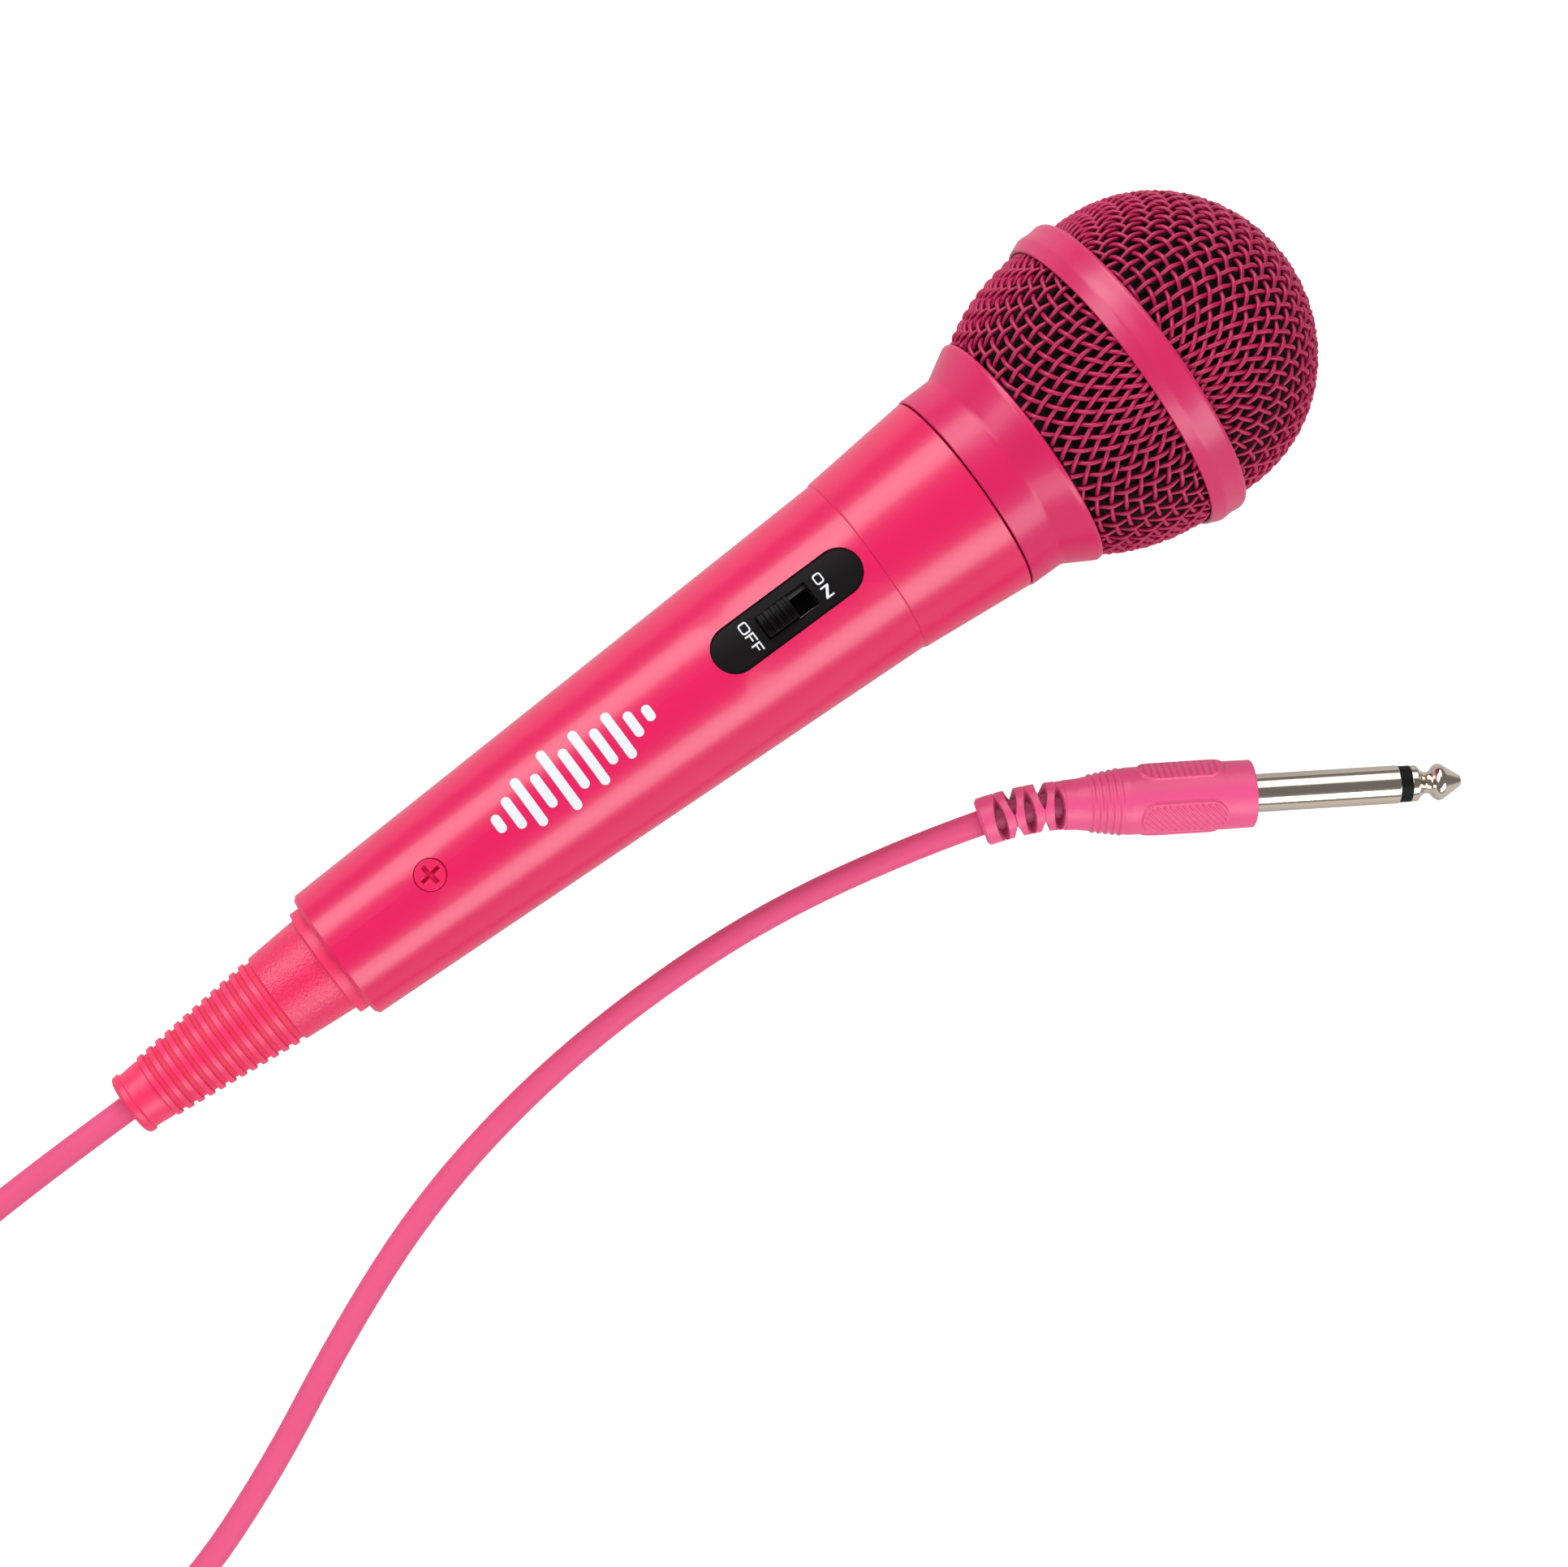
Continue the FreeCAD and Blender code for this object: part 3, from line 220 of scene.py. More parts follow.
class Finish:
    """A material under construction, with short ways to add and join nodes."""

    def __init__(self, name, colour, roughness, shine=0.5, metallic=0.0):
        self.material = bpy.data.materials.new(name)
        self.material.use_nodes = True
        self.nodes = self.material.node_tree.nodes
        self.link = self.material.node_tree.links.new
        self.shader = self.nodes["Principled BSDF"]
        self.set("Base Color", (*colour, 1.0))
        self.set("Roughness", roughness)
        self.set("Specular IOR Level", shine)
        self.set("Metallic", metallic)
        self.colour = colour

    def set(self, socket, value):
        self.shader.inputs[socket].default_value = value

    def node(self, kind, **settings):
        made = self.nodes.new(kind)
        for key, value in settings.items():
            setattr(made, key, value)
        return made

    def place(self):
        """Object coordinates, in metres."""
        return self.node("ShaderNodeTexCoord").outputs["Object"]

    def mould(self, grain_scale, grain, waviness, depth, strength):
        """The shared moulding marks as bumps; gives their patches."""
        group = self.node("ShaderNodeGroup", node_tree=MOULDING_MARKS)
        self.link(self.place(), group.inputs["Vector"])
        group.inputs["Grain Scale"].default_value = grain_scale
        group.inputs["Grain"].default_value = grain
        group.inputs["Waviness"].default_value = waviness
        self.bump(group.outputs["Height"], depth, strength)
        return group.outputs["Patch"]

    def bump(self, height, depth, strength):
        """A height in metres that tilts the shading."""
        bump = self.node("ShaderNodeBump")
        bump.inputs["Distance"].default_value = depth
        bump.inputs["Strength"].default_value = strength
        self.link(height, bump.inputs["Height"])
        self.link(bump.outputs["Normal"], self.shader.inputs["Normal"])

    def drift(self, mask, other, share):
        """The base colour moves towards another colour where the mask is high."""
        mix = self.node("ShaderNodeMix", data_type="RGBA")
        mix.inputs["A"].default_value = (*self.colour, 1.0)
        mix.inputs["B"].default_value = (*other, 1.0)
        scale = self.node("ShaderNodeMath", operation="MULTIPLY")
        scale.inputs[1].default_value = share
        self.link(mask, scale.inputs[0])
        self.link(scale.outputs[0], mix.inputs["Factor"])
        self.link(mix.outputs["Result"], self.shader.inputs["Base Color"])


def glossy_pink(name, colour, deeper, roughness, shine):
    """Polished injection-moulded plastic: clear reflections, faint moulding waves."""
    finish = Finish(name, colour, roughness, shine)
    finish.set("Coat Weight", 0.12)
    finish.set("Coat Roughness", 0.14)
    patch = finish.mould(grain_scale=2600.0, grain=0.10, waviness=0.6, depth=0.00004, strength=0.5)
    finish.drift(patch, deeper, 0.5)
    return finish.material


def coated_wire():
    """Powder-coated steel wire: satin crimson, paler in broad random patches."""
    finish = Finish("crimson_coated_wire", (0.35, 0.007, 0.060), 0.34, shine=0.32)
    patch = finish.mould(grain_scale=5200.0, grain=0.6, waviness=0.4, depth=0.00003, strength=0.6)
    finish.drift(patch, (0.43, 0.012, 0.080), 0.6)
    return finish.material


def black_foam():
    """Open-cell acoustic foam: near black, with lighter cell walls and dark cells."""
    finish = Finish("black_foam", (0.005, 0.003, 0.004), 0.95, shine=0.2)
    cells = finish.node("ShaderNodeTexVoronoi")
    cells.inputs["Scale"].default_value = 2600.0
    finish.link(finish.place(), cells.inputs["Vector"])
    finish.drift(cells.outputs["Distance"], (0.018, 0.010, 0.012), 0.9)
    finish.bump(cells.outputs["Distance"], depth=0.0003, strength=0.9)
    return finish.material


def rubber(name, colour, deeper, roughness, grain_scale, depth):
    """Matt soft plastic with a fine leather-like skin."""
    finish = Finish(name, colour, roughness)
    finish.set("Sheen Weight", 0.05)
    patch = finish.mould(grain_scale, grain=1.0, waviness=0.5, depth=depth, strength=0.8)
    finish.drift(patch, deeper, 0.6)
    return finish.material


def matt_plastic(name, colour, deeper, roughness, shine=0.5):
    """Plain moulded plastic or board with a fine grain."""
    finish = Finish(name, colour, roughness, shine)
    patch = finish.mould(grain_scale=3800.0, grain=0.8, waviness=0.2, depth=0.00003, strength=0.7)
    finish.drift(patch, deeper, 0.7)
    return finish.material


def bright_metal(name, colour, roughness, streaks):
    """Plated or drawn metal with faint turning marks."""
    finish = Finish(name, colour, roughness, metallic=1.0)
    finish.mould(grain_scale=1800.0, grain=streaks, waviness=0.3, depth=0.00002, strength=0.5)
    return finish.material


def clear_film():
    """Thin polyester film: slightly amber, with stamped corrugations."""
    finish = Finish("clear_film", (0.75, 0.70, 0.58), 0.18)
    patch = finish.mould(grain_scale=900.0, grain=0.3, waviness=1.0, depth=0.00005, strength=0.6)
    finish.drift(patch, (0.66, 0.60, 0.46), 0.6)
    return finish.material


CRIMSON_WIRE = coated_wire()
FOAM = black_foam()
CLEAR_FILM = clear_film()

# name, colour, deeper colour, roughness, shine
PINK_HANDLE = glossy_pink("handle_gloss", (0.6, 0.006, 0.082), (0.56, 0.005, 0.076), 0.3, 0.5)
PINK_SCREW = glossy_pink("screw_paint", (0.62, 0.006, 0.08), (0.58, 0.005, 0.074), 0.42, 0.35)
PINK_COLLAR = glossy_pink("collar_gloss", (0.53, 0.008, 0.088), (0.5, 0.007, 0.082), 0.34, 0.38)
PINK_BAND = glossy_pink("band_gloss", (0.5, 0.012, 0.092), (0.46, 0.01, 0.085), 0.36, 0.42)

# name, colour, deeper colour, roughness, grain scale, grain depth
BOOT_RUBBER = rubber("boot_rubber", (0.7, 0.018, 0.1), (0.66, 0.015, 0.092), 0.42, 1700, 0.00005)
BOOT_LEATHER = rubber("boot_leather", (0.67, 0.016, 0.092), (0.58, 0.012, 0.08), 0.28, 2500, 0.0002)
# the grooves' material is the boot's pink made darker: painted shade for the grooves between the
# ribs
BOOT_GROOVE_SHADE = rubber("boot_groove_painted_shade", (0.66, 0.01, 0.07), (0.6, 0.009, 0.064), 0.6, 2200, 0.00003)
CORD_JACKET = rubber("cord_jacket", (0.6, 0.055, 0.165), (0.57, 0.046, 0.16), 0.7, 900, 0.00005)
PLUG_PVC = rubber("plug_pvc", (0.65, 0.064, 0.195), (0.6, 0.054, 0.178), 0.45, 1800, 0.00005)
# the slots' material is the plug's pink made darker: painted shade for the hollows of the relief's
# slots
PLUG_SLOT_SHADE = rubber("plug_slot_painted_shade", (0.36, 0.026, 0.105), (0.3, 0.02, 0.09), 0.55, 1500, 0.00006)
STRAP_FABRIC = rubber(
    "strap_fabric", (0.015, 0.015, 0.017), (0.03, 0.03, 0.032), 0.85, 1500, 0.0002
)

# name, colour, deeper colour, roughness, shine
BLACK_PLATE = matt_plastic("black_plate", (0.004, 0.0033, 0.0034), (0.007, 0.006, 0.006), 0.5, 0.1)
BLACK_KNOB = matt_plastic(
    "black_knob", (0.0018, 0.0014, 0.0014), (0.003, 0.0025, 0.0025), 0.38, 0.09
)
WHITE_PRINT = matt_plastic("white_print", (0.62, 0.63, 0.66), (0.57, 0.58, 0.61), 0.5)
FERRITE = matt_plastic("ferrite", (0.05, 0.05, 0.055), (0.07, 0.07, 0.075), 0.55)
PHENOLIC = matt_plastic("phenolic_board", (0.3, 0.16, 0.05), (0.24, 0.12, 0.04), 0.5)
NATURAL_PLASTIC = matt_plastic("natural_plastic", (0.78, 0.77, 0.73), (0.72, 0.71, 0.67), 0.45)
BLACK_RUBBER = matt_plastic("black_rubber", (0.018, 0.018, 0.018), (0.03, 0.03, 0.03), 0.7)
RED_WIRE = matt_plastic("red_insulation", (0.55, 0.02, 0.02), (0.48, 0.015, 0.015), 0.4)
WHITE_WIRE = matt_plastic("white_insulation", (0.78, 0.78, 0.76), (0.7, 0.7, 0.68), 0.4)

# name, colour, roughness, streaks
NICKEL = bright_metal("bright_nickel", (0.66, 0.57, 0.48), 0.15, 0.4)
ZINC = bright_metal("zinc_plate", (0.62, 0.62, 0.6), 0.35, 0.8)
BRASS = bright_metal("tinned_brass", (0.8, 0.62, 0.32), 0.3, 0.6)
COPPER = bright_metal("enamelled_copper", (0.75, 0.33, 0.16), 0.28, 0.6)

# ---- making surfaces

WELD_DISTANCE = 1e-6
CREASE_ANGLE = math.radians(50)


def eased(value, start, finish):
    """A smooth 0 to 1 ramp between two values."""
    share = np.clip((value - start) / (finish - start), 0, 1)
    return share * share * (3 - 2 * share)


def full_circle(count):
    """Evenly spread angles round a circle."""
    return np.arange(count) / count * TURN


def unit(vectors):
    """Vectors along the last axis, scaled to length one."""
    return vectors / np.linalg.norm(vectors, axis=-1, keepdims=True)


def headings(line):
    """The direction of a line of points at every point."""
    return unit(np.gradient(line, axis=0))


def running_length(line):
    """The length of a line of points from its start to every point."""
    return np.concatenate([[0], np.cumsum(np.linalg.norm(np.diff(line, axis=0), axis=1))])


def grid_faces(rows, columns, wrap_rows=False, wrap_columns=False):
    """Quads of a grid of points; the first index runs over the rows."""
    row = np.arange(rows if wrap_rows else rows - 1)
    column = np.arange(columns if wrap_columns else columns - 1)
    i, j = np.meshgrid(row, column, indexing="ij")
    i_next, j_next = (i + 1) % rows, (j + 1) % columns
    quads = [i * columns + j, i_next * columns + j, i_next * columns + j_next, i * columns + j_next]
    return np.stack(quads, -1).reshape(-1, 4)


def closed_ends(rings, centres):
    """The rings plus a ring shrunk to a point at the first and at the last centre."""
    ends = [centres[index] + 0 * rings[:1] for index in (0, -1)]
    return np.concatenate([ends[0], rings, ends[1]])


def several(parts):
    """Joins (points, faces) pairs into one."""
    points, faces, base = [], [], 0
    for some_points, some_faces in parts:
        points.append(some_points.reshape(-1, 3))
        faces.append(some_faces + base)
        base += len(points[-1])
    return np.concatenate(points), np.concatenate(faces)


def piece(name, points, faces, material, body, *replaces):
    """A mesh piece with welded points and smooth shading that rides on a body."""
    mesh = bpy.data.meshes.new(name)
    mesh.from_pydata(points.reshape(-1, 3).tolist(), [], faces.tolist())
    work = bmesh.new()
    work.from_mesh(mesh)
    bmesh.ops.remove_doubles(work, verts=work.verts, dist=WELD_DISTANCE)
    work.to_mesh(mesh)
    work.free()
    mesh.shade_smooth()
    mesh.set_sharp_from_angle(angle=CREASE_ANGLE)
    mesh.materials.append(material)
    made = bpy.data.objects.new(name, mesh)
    scene.collection.objects.link(made)
    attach(made, body)
    if replaces:
        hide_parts(*replaces)
    return made


def face_centres(made):
    """The middle of every face of a piece, in metres."""
    centres = np.empty(len(made.data.polygons) * 3)
    made.data.polygons.foreach_get("center", centres)
    return centres.reshape(-1, 3)


def paint_faces(made, slots, *materials):
    """More materials for a piece, and the number of its material slot for every face."""
    for material in materials:
        made.data.materials.append(material)
    made.data.polygons.foreach_set("material_index", slots.astype(np.int32))
    made.data.update()


def softened(corners, closed=True):
    """A profile of (along, radius, rounding) corners, each corner eased by a curved stretch.

    A corner's curve is a quadratic from a point before it to a point after it, both a
    rounding's length away; a holding point beyond each end keeps the flats flat.
    """
    steps, longest_hold, largest_share = 6, 0.12, 0.42
    places = np.array([corner[:2] for corner in corners], float)
    reach = np.array([corner[2] if len(corner) > 2 else 0.0 for corner in corners])
    sides = np.linalg.norm(np.roll(places, -1, axis=0) - places, axis=1)
    reach = np.minimum(reach, largest_share * np.minimum(sides, np.roll(sides, 1)))
    t = np.linspace(0, 1, steps)[:, None]
    profile = []
    count = len(places)
    for index in range(count):
        here = places[index]
        if reach[index] == 0 or (not closed and index in (0, count - 1)):
            profile.append(here[None])
            continue
        back = unit(places[index - 1] - here)
        ahead = unit(places[(index + 1) % count] - here)
        start, finish = here + back * reach[index], here + ahead * reach[index]
        curve = (1 - t) ** 2 * start + 2 * t * (1 - t) * here + t**2 * finish
        hold = min(longest_hold, reach[index] / 6)
        profile += [(start + back * hold)[None], curve, (finish + ahead * hold)[None]]
    return np.concatenate(profile)


def turned(
    name, corners, material, body, *replaces, around=round_axis, segments=224, closed=True
):
    """A surface of revolution: every profile point carried round the axis."""
    profile = softened(corners, closed)
    points = around(profile[:, :1], profile[:, 1:], full_circle(segments)[None])
    faces = grid_faces(len(profile), segments, wrap_rows=closed, wrap_columns=True)
    return piece(name, points, faces, material, body, *replaces)


# ---- the cord and its coil

COIL_MIDDLE = np.array([-219.2, -30.4])
COIL_SPACING = 4.55
COIL_MEAN_RADIUS = 25.2
COIL_RADII = COIL_MEAN_RADIUS + COIL_SPACING * (np.arange(4) - 1.5)
COIL_LEVELS = CORD_RADIUS + COIL_SPACING * np.arange(4)
COIL_TURNS = 15.5
OUTSIDE_RADIUS = 36.975
POINTS_PER_TURN = 24
LAYER_SWING = 1.35
RELIEF_END = np.array([24.0, -43.2, 4.6])
# the way from the coil to the plug, and the last point before the plug's relief
FLOOR_WAY = (
    (-197.0, -67.5), (-173.0, -69.2), (-150.0, -67.0), (-129.0, -59.2), (-108.0, -48.7),
    (-86.0, -39.9), (-63.0, -35.0), (-39.0, -33.2), (-13.0, -34.4),
)
BEFORE_RELIEF = (12.996, -39.65, 2.245)


def coil_route():
    """Fifteen turns wound in four layers, then half a turn down the outside, in mm.

    Every turn keeps to one slot of a square packing and moves to the next slot in the same
    part of the circle; where it changes layer it also swings out of its neighbour's way.
    """
    inwards = COIL_RADII[::-1]
    radii = np.concatenate([inwards, COIL_RADII, inwards, COIL_RADII, COIL_RADII[-1:]])
    levels = np.concatenate([np.repeat(COIL_LEVELS, 4), COIL_LEVELS[-1:]])
    swing = LAYER_SWING * np.array([0, 0, 0, -1, 0, 0, 0, 1, 0, 0, 0, -1, 0, 0, 0, 0])
    count = np.arange(1, int(COIL_TURNS * POINTS_PER_TURN))
    turns = count / POINTS_PER_TURN
    slot = np.floor(turns).astype(int)
    move = eased(turns - slot, 0.32, 0.70)
    radius = radii[slot] + (radii[slot + 1] - radii[slot]) * move
    radius = radius + swing[slot] * np.sin(math.pi * move)
    level = levels[slot] + (levels[slot + 1] - levels[slot]) * move
    radius = radius + (OUTSIDE_RADIUS - radius) * eased(turns, 15.0, 15.14)
    level = level + (CORD_RADIUS - level) * eased(turns, 15.05, 15.33)
    # a quadratic spline runs a little inside the circle of its control points
    radius = radius / math.cos(math.pi / POINTS_PER_TURN)
    angle = turns * TURN + math.pi / 2
    x = COIL_MIDDLE[0] + radius * np.cos(angle)
    y = COIL_MIDDLE[1] + radius * np.sin(angle)
    return np.stack([x, y, level], -1)


def lay_cord():
    """One spline: boot, floor, coil, floor, the plug's flexible relief."""
    tail = TAIL / MM
    coil_x, coil_y = COIL_MIDDLE
    lead = [
        tail, tail - 18 * AXIS, (-152.0, -0.9, 2.5), (-172.0, 0.0, CORD_RADIUS),
        (-196.0, coil_y + COIL_RADII[-1], CORD_RADIUS),
        (coil_x + 3.0, coil_y + COIL_RADII[-1] + 0.35, CORD_RADIUS),
    ]
    to_plug = [
        (coil_x + 4.0, coil_y - OUTSIDE_RADIUS - 0.2, CORD_RADIUS),
        *((x, y, CORD_RADIUS) for x, y in FLOOR_WAY), BEFORE_RELIEF, RELIEF_END,
    ]
    route = np.concatenate([np.array(lead), coil_route(), np.array(to_plug)])
    curve = bpy.data.curves.new("cord", "CURVE")
    curve.dimensions = "3D"
    curve.bevel_depth = CORD_RADIUS * MM
    curve.bevel_resolution = 5
    curve.resolution_u = curve.render_resolution_u = 6
    curve.use_fill_caps = True
    spline = curve.splines.new("NURBS")
    spline.points.add(len(route) - 1)
    for point, place in zip(spline.points, route * MM):
        point.co = (*place, 1.0)
    spline.order_u = 3
    spline.use_endpoint_u = True
    cord = bpy.data.objects.new("cord", curve)
    scene.collection.objects.link(cord)
    curve.materials.append(CORD_JACKET)
    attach(cord, "microphone")
    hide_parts("cord_coil", "cord_lead", "cord_tail")
    return cord


cord = lay_cord()

# ---- the woven wire head

WIRE_RADIUS = 0.35
WIRE_SIDES = 8
WIRE_LIFT = WIRE_RADIUS * 1.02
MESH_PITCH = 2.35
CLOTH_RADIUS = 27.8
CLOTH_CELLS = 21
STEPS_PER_CELL = 4
DOME_BIAS, CUP_BIAS = math.radians(-25.0), math.radians(-17.0)
ARC_STEPS = 60
DOME_RADIUS, DOME_SHOULDER = 26.15, (222.1, 18.6)
DOME_SIDE_CURVE, DOME_NOSE_CURVE = 24.77, 27.16
CUP_START, CUP_START_RADIUS, CUP_RIM_RADIUS, CUP_CURVE = COLLAR_END + 0.05, 20.8, 26.45, 34.0


def pressed_cloth():
    """A quarter of a square cloth pressed into a ball of radius one without stretching.

    Two threads lie on great circles through the pole.  Every further point is found from the
    three before it, so that each small cell stays a rhombus with the same sides.
    """
    count = CLOTH_CELLS * STEPS_PER_CELL + 1
    step = MESH_PITCH / CLOTH_RADIUS / STEPS_PER_CELL
    net = np.zeros((count, count, 3))
    run = np.arange(count) * step
    net[:, 0] = np.stack([np.sin(run), 0 * run, np.cos(run)], -1)
    net[0, :] = np.stack([0 * run, np.sin(run), np.cos(run)], -1)
    for diagonal in range(2, 2 * count - 1):
        i = np.arange(max(1, diagonal - count + 1), min(count, diagonal))
        j = diagonal - i
        middle = unit(net[i - 1, j] + net[i, j - 1])
        before = net[i - 1, j - 1]
        net[i, j] = 2 * (before * middle).sum(-1, keepdims=True) * middle - before
    return net


def arc_between(start, finish, radius):
    """Points on an arc from start to finish that bulges away from the axis."""
    start, finish = np.array(start, float), np.array(finish, float)
    chord = finish - start
    outward = np.array([-chord[1], chord[0]]) / np.hypot(*chord)
    middle = (start + finish) / 2 - outward * math.sqrt(radius**2 - chord @ chord / 4)
    first = math.atan2(*(start - middle)[::-1])
    last = math.atan2(*(finish - middle)[::-1])
    angle = np.linspace(first, last, ARC_STEPS)
    return middle + radius * np.stack([np.cos(angle), np.sin(angle)], -1)


def outline_normals(outline):
    """A quarter turn from the outline's heading at every point."""
    heading = headings(outline)
    return np.stack([-heading[:, 1], heading[:, 0]], -1)


def inset_outline(outline, inset):
    """Every point moved towards the axis side of the outline by the inset."""
    moved = outline - outline_normals(outline) * inset
    moved[:, 1] = np.where(outline[:, 1] > 0, moved[:, 1], 0.0)
    return moved


def dome_profile(inset, foot):
    """The dome's outline in steps, from its tip to a foot station."""
    side = arc_between((DOME_START, DOME_RADIUS), DOME_SHOULDER, DOME_SIDE_CURVE)
    nose = arc_between(DOME_SHOULDER, (DOME_TIP, 0.0), DOME_NOSE_CURVE)
    outline = np.concatenate([[(foot, DOME_RADIUS)], side, nose[1:]])
    return inset_outline(outline, inset)[::-1]


def cup_profile(inset, foot):
    """The lower cup's outline in steps, from a foot station near the collar to the band."""
    bulge = arc_between((CUP_START, CUP_START_RADIUS), (BAND_START, CUP_RIM_RADIUS), CUP_CURVE)
    slope = (bulge[1] - bulge[0]) / (bulge[1] - bulge[0])[0]
    start = bulge[0] - slope * (CUP_START - foot)
    if foot > COLLAR_END:
        start = (foot, np.interp(foot, bulge[:, 0], bulge[:, 1]))
    rim = (BAND_START + 2.8, CUP_RIM_RADIUS)
    outline = np.concatenate([[start], bulge[bulge[:, 0] > foot], [rim]])
    return inset_outline(outline, inset)


def wire_tube(middle, out):
    """A round wire with closed ends along a line of points; out leads away from the cloth."""
    ahead = headings(middle)
    across = unit(np.cross(ahead, out))
    out = np.cross(across, ahead)
    turn = full_circle(WIRE_SIDES)[None, :, None]
    ring = np.cos(turn) * out[:, None] + np.sin(turn) * across[:, None]
    tube = closed_ends(middle[:, None] + WIRE_RADIUS * ring, middle)
    faces = grid_faces(len(tube), WIRE_SIDES, wrap_columns=True)
    return tube * MM, faces[:, ::-1]


def weave(name, profile, pole_arc, bias, keep_from, keep_to, replaces):
    """Round wires that go over and under each other on a pressed cloth.

    The cloth's distance from the pole becomes a distance along the profile; a wire's height
    over the cloth is a cosine with one half-wave per cell, opposite in neighbouring wires.
    The bias is the angle round the axis where the cloth is pulled along its diagonal.  Only
    cloth between the two kept distances from the pole becomes wire.
    """
    distance = running_length(profile) + pole_arc
    side = np.sign(profile[-1, 0] - profile[0, 0])
    outward = outline_normals(profile) * side

    quadrant = pressed_cloth()
    count = len(quadrant)
    reach = np.arange(-(count - 1), count)
    i, j = np.meshgrid(reach, reach, indexing="ij")
    cloth = quadrant[abs(i), abs(j)] * np.stack([np.sign(i), np.sign(j), 1 + 0 * i], -1)
    cloth[i == 0, 0] = 0
    cloth[j == 0, 1] = 0
    arc = np.arccos(np.clip(cloth[..., 2], -1, 1)) * CLOTH_RADIUS
    angle = np.arctan2(cloth[..., 1], cloth[..., 0]) + bias - math.pi / 4
    # cloth that has gathered too much to lie flat is left out
    laid = (abs(i) + abs(j)) * MESH_PITCH / STEPS_PER_CELL < arc * 1.6 + 1.0
    inside = (arc >= keep_from) & (arc <= keep_to) & laid

    station = np.interp(arc, distance, profile[:, 0])
    radius = np.interp(arc, distance, profile[:, 1])
    lean_along = np.interp(arc, distance, outward[:, 0])
    lean_out = np.interp(arc, distance, outward[:, 1])
    place = round_axis(station, radius, angle) / MM
    normal = (round_axis(lean_along, lean_out, angle) - TAIL) / MM
    height = WIRE_LIFT * np.cos(math.pi * (i + j) / STEPS_PER_CELL)
    parts = []
    for family, side_up in ((0, 1), (1, -1)):
        for line in np.arange(0, len(reach), STEPS_PER_CELL):
            pick = (line, slice(None)) if family == 0 else (slice(None), line)
            run = np.flatnonzero(inside[pick])
            for stretch in np.split(run, np.flatnonzero(np.diff(run) > 1) + 1):
                if len(stretch) < 3:
                    continue
                out = normal[pick][stretch]
                rise = height[pick][stretch] * side_up
                parts.append(wire_tube(place[pick][stretch] + rise[:, None] * out, out))
    points, faces = several(parts)
    return piece(name, points, faces, CRIMSON_WIRE, "head", replaces)


weave(
    "dome_wires", dome_profile(2 * WIRE_RADIUS, foot=198.6), pole_arc=0.0, bias=DOME_BIAS,
    keep_from=0.0, keep_to=44.6, replaces="dome_grille",
)
weave(
    "cup_wires", cup_profile(2 * WIRE_RADIUS, foot=176.6), bias=CUP_BIAS,
    pole_arc=CLOTH_RADIUS * math.pi / 2 - 21.0, keep_from=22.7, keep_to=43.2,
    replaces="cup_grille",
)

# ---- foam behind the wires

FOAM_INSET = 1.75
FOAM_FOOT = COLLAR_END + 2.1
FOAM_BORE = 17.5


def foam_lining():
    """A lumpy foam bowl just behind both wire bowls, hollow round the capsule.

    The lumps are a product of three sines of the place; they pull the radius inwards.
    """
    dome = dome_profile(FOAM_INSET, BAND_START)
    cup = cup_profile(FOAM_INSET, FOAM_FOOT)[::-1]
    outer = np.concatenate([dome[:-1], cup[cup[:, 0] < BAND_START]])
    hollow = [(FOAM_FOOT, FOAM_BORE), (206.0, FOAM_BORE), (211.0, 12.5), (211.0, 0.0)]
    even = np.linspace(0, 1, 12)[:, None]
    inner = np.concatenate(
        [np.array(a) + (np.array(b) - a) * even for a, b in zip(hollow, hollow[1:])]
    )
    outline = np.concatenate([outer, inner])
    angle = full_circle(240)
    points = round_axis(outline[:, :1], outline[:, 1:], angle[None])
    x, y, z = np.moveaxis(points / MM, -1, 0)
    lumps = np.sin(2.1 * x + 1.3 * y) * np.sin(1.9 * y - 1.1 * z) * np.sin(2.3 * z + 0.7 * x)
    shrink = 1 - (0.10 + 0.10 * lumps) / np.maximum(outline[:, 1:], 3.0)
    points = round_axis(outline[:, :1], outline[:, 1:] * shrink, angle[None])
    faces = grid_faces(len(outline), len(angle), wrap_columns=True)[:, ::-1]
    lining = piece("foam_lining", points, faces, FOAM, "head", "windscreen_foam")


foam_lining()

# ---- collar, band, neck and boot
# Outlines are corners of (station, radius, rounding).

COLLAR_BORE = 16.91
SPIGOT_START, SPIGOT_END = 133.0, 144.65
SPIGOT_BORE, SPIGOT_RADIUS = 11.8, 13.88
NOTCH_HALF_WIDTH = 6.7
BOOT_BORE = CORD_RADIUS + 0.06
RIB_START, RIB_PITCH, RIB_COUNT = 5.4, 1.918, 12
RIB_FOOT, BOOT_TAPER = 5.1, 0.098
# one rib's corners: distance beyond its start, height above its foot, rounding
RIB_CORNERS = ((0.02, 0.0, 0.04), (0.08, 0.52, 0.12), (1.02, 0.60, 0.12), (1.08, 0.09, 0.04))

turned(
    "flared_collar",
    [
        (COLLAR_START, COLLAR_BORE, 0.1), (COLLAR_START, 18.15, 0.25), (171.0, 18.2, 0.5),
        (176.15, 21.15, 0.3), (COLLAR_END, 21.05, 0.3), (COLLAR_END, 19.6, 0.1),
        (173.36, 17.31, 0.1), (173.36, COLLAR_BORE, 0.1),
    ],
    PINK_COLLAR, "head", "grille_collar",
)
turned(
    "head_band",
    [
        (BAND_START, 26.55, 0.1), (BAND_START, 27.0, 0.12), (196.3, 27.9, 0.3),
        (198.2, 27.78, 0.8), (199.8, 27.98, 0.3), (BAND_END, 27.75, 0.15), (BAND_END, 26.55, 0.1),
    ],
    PINK_BAND, "head", "band_ring",
)


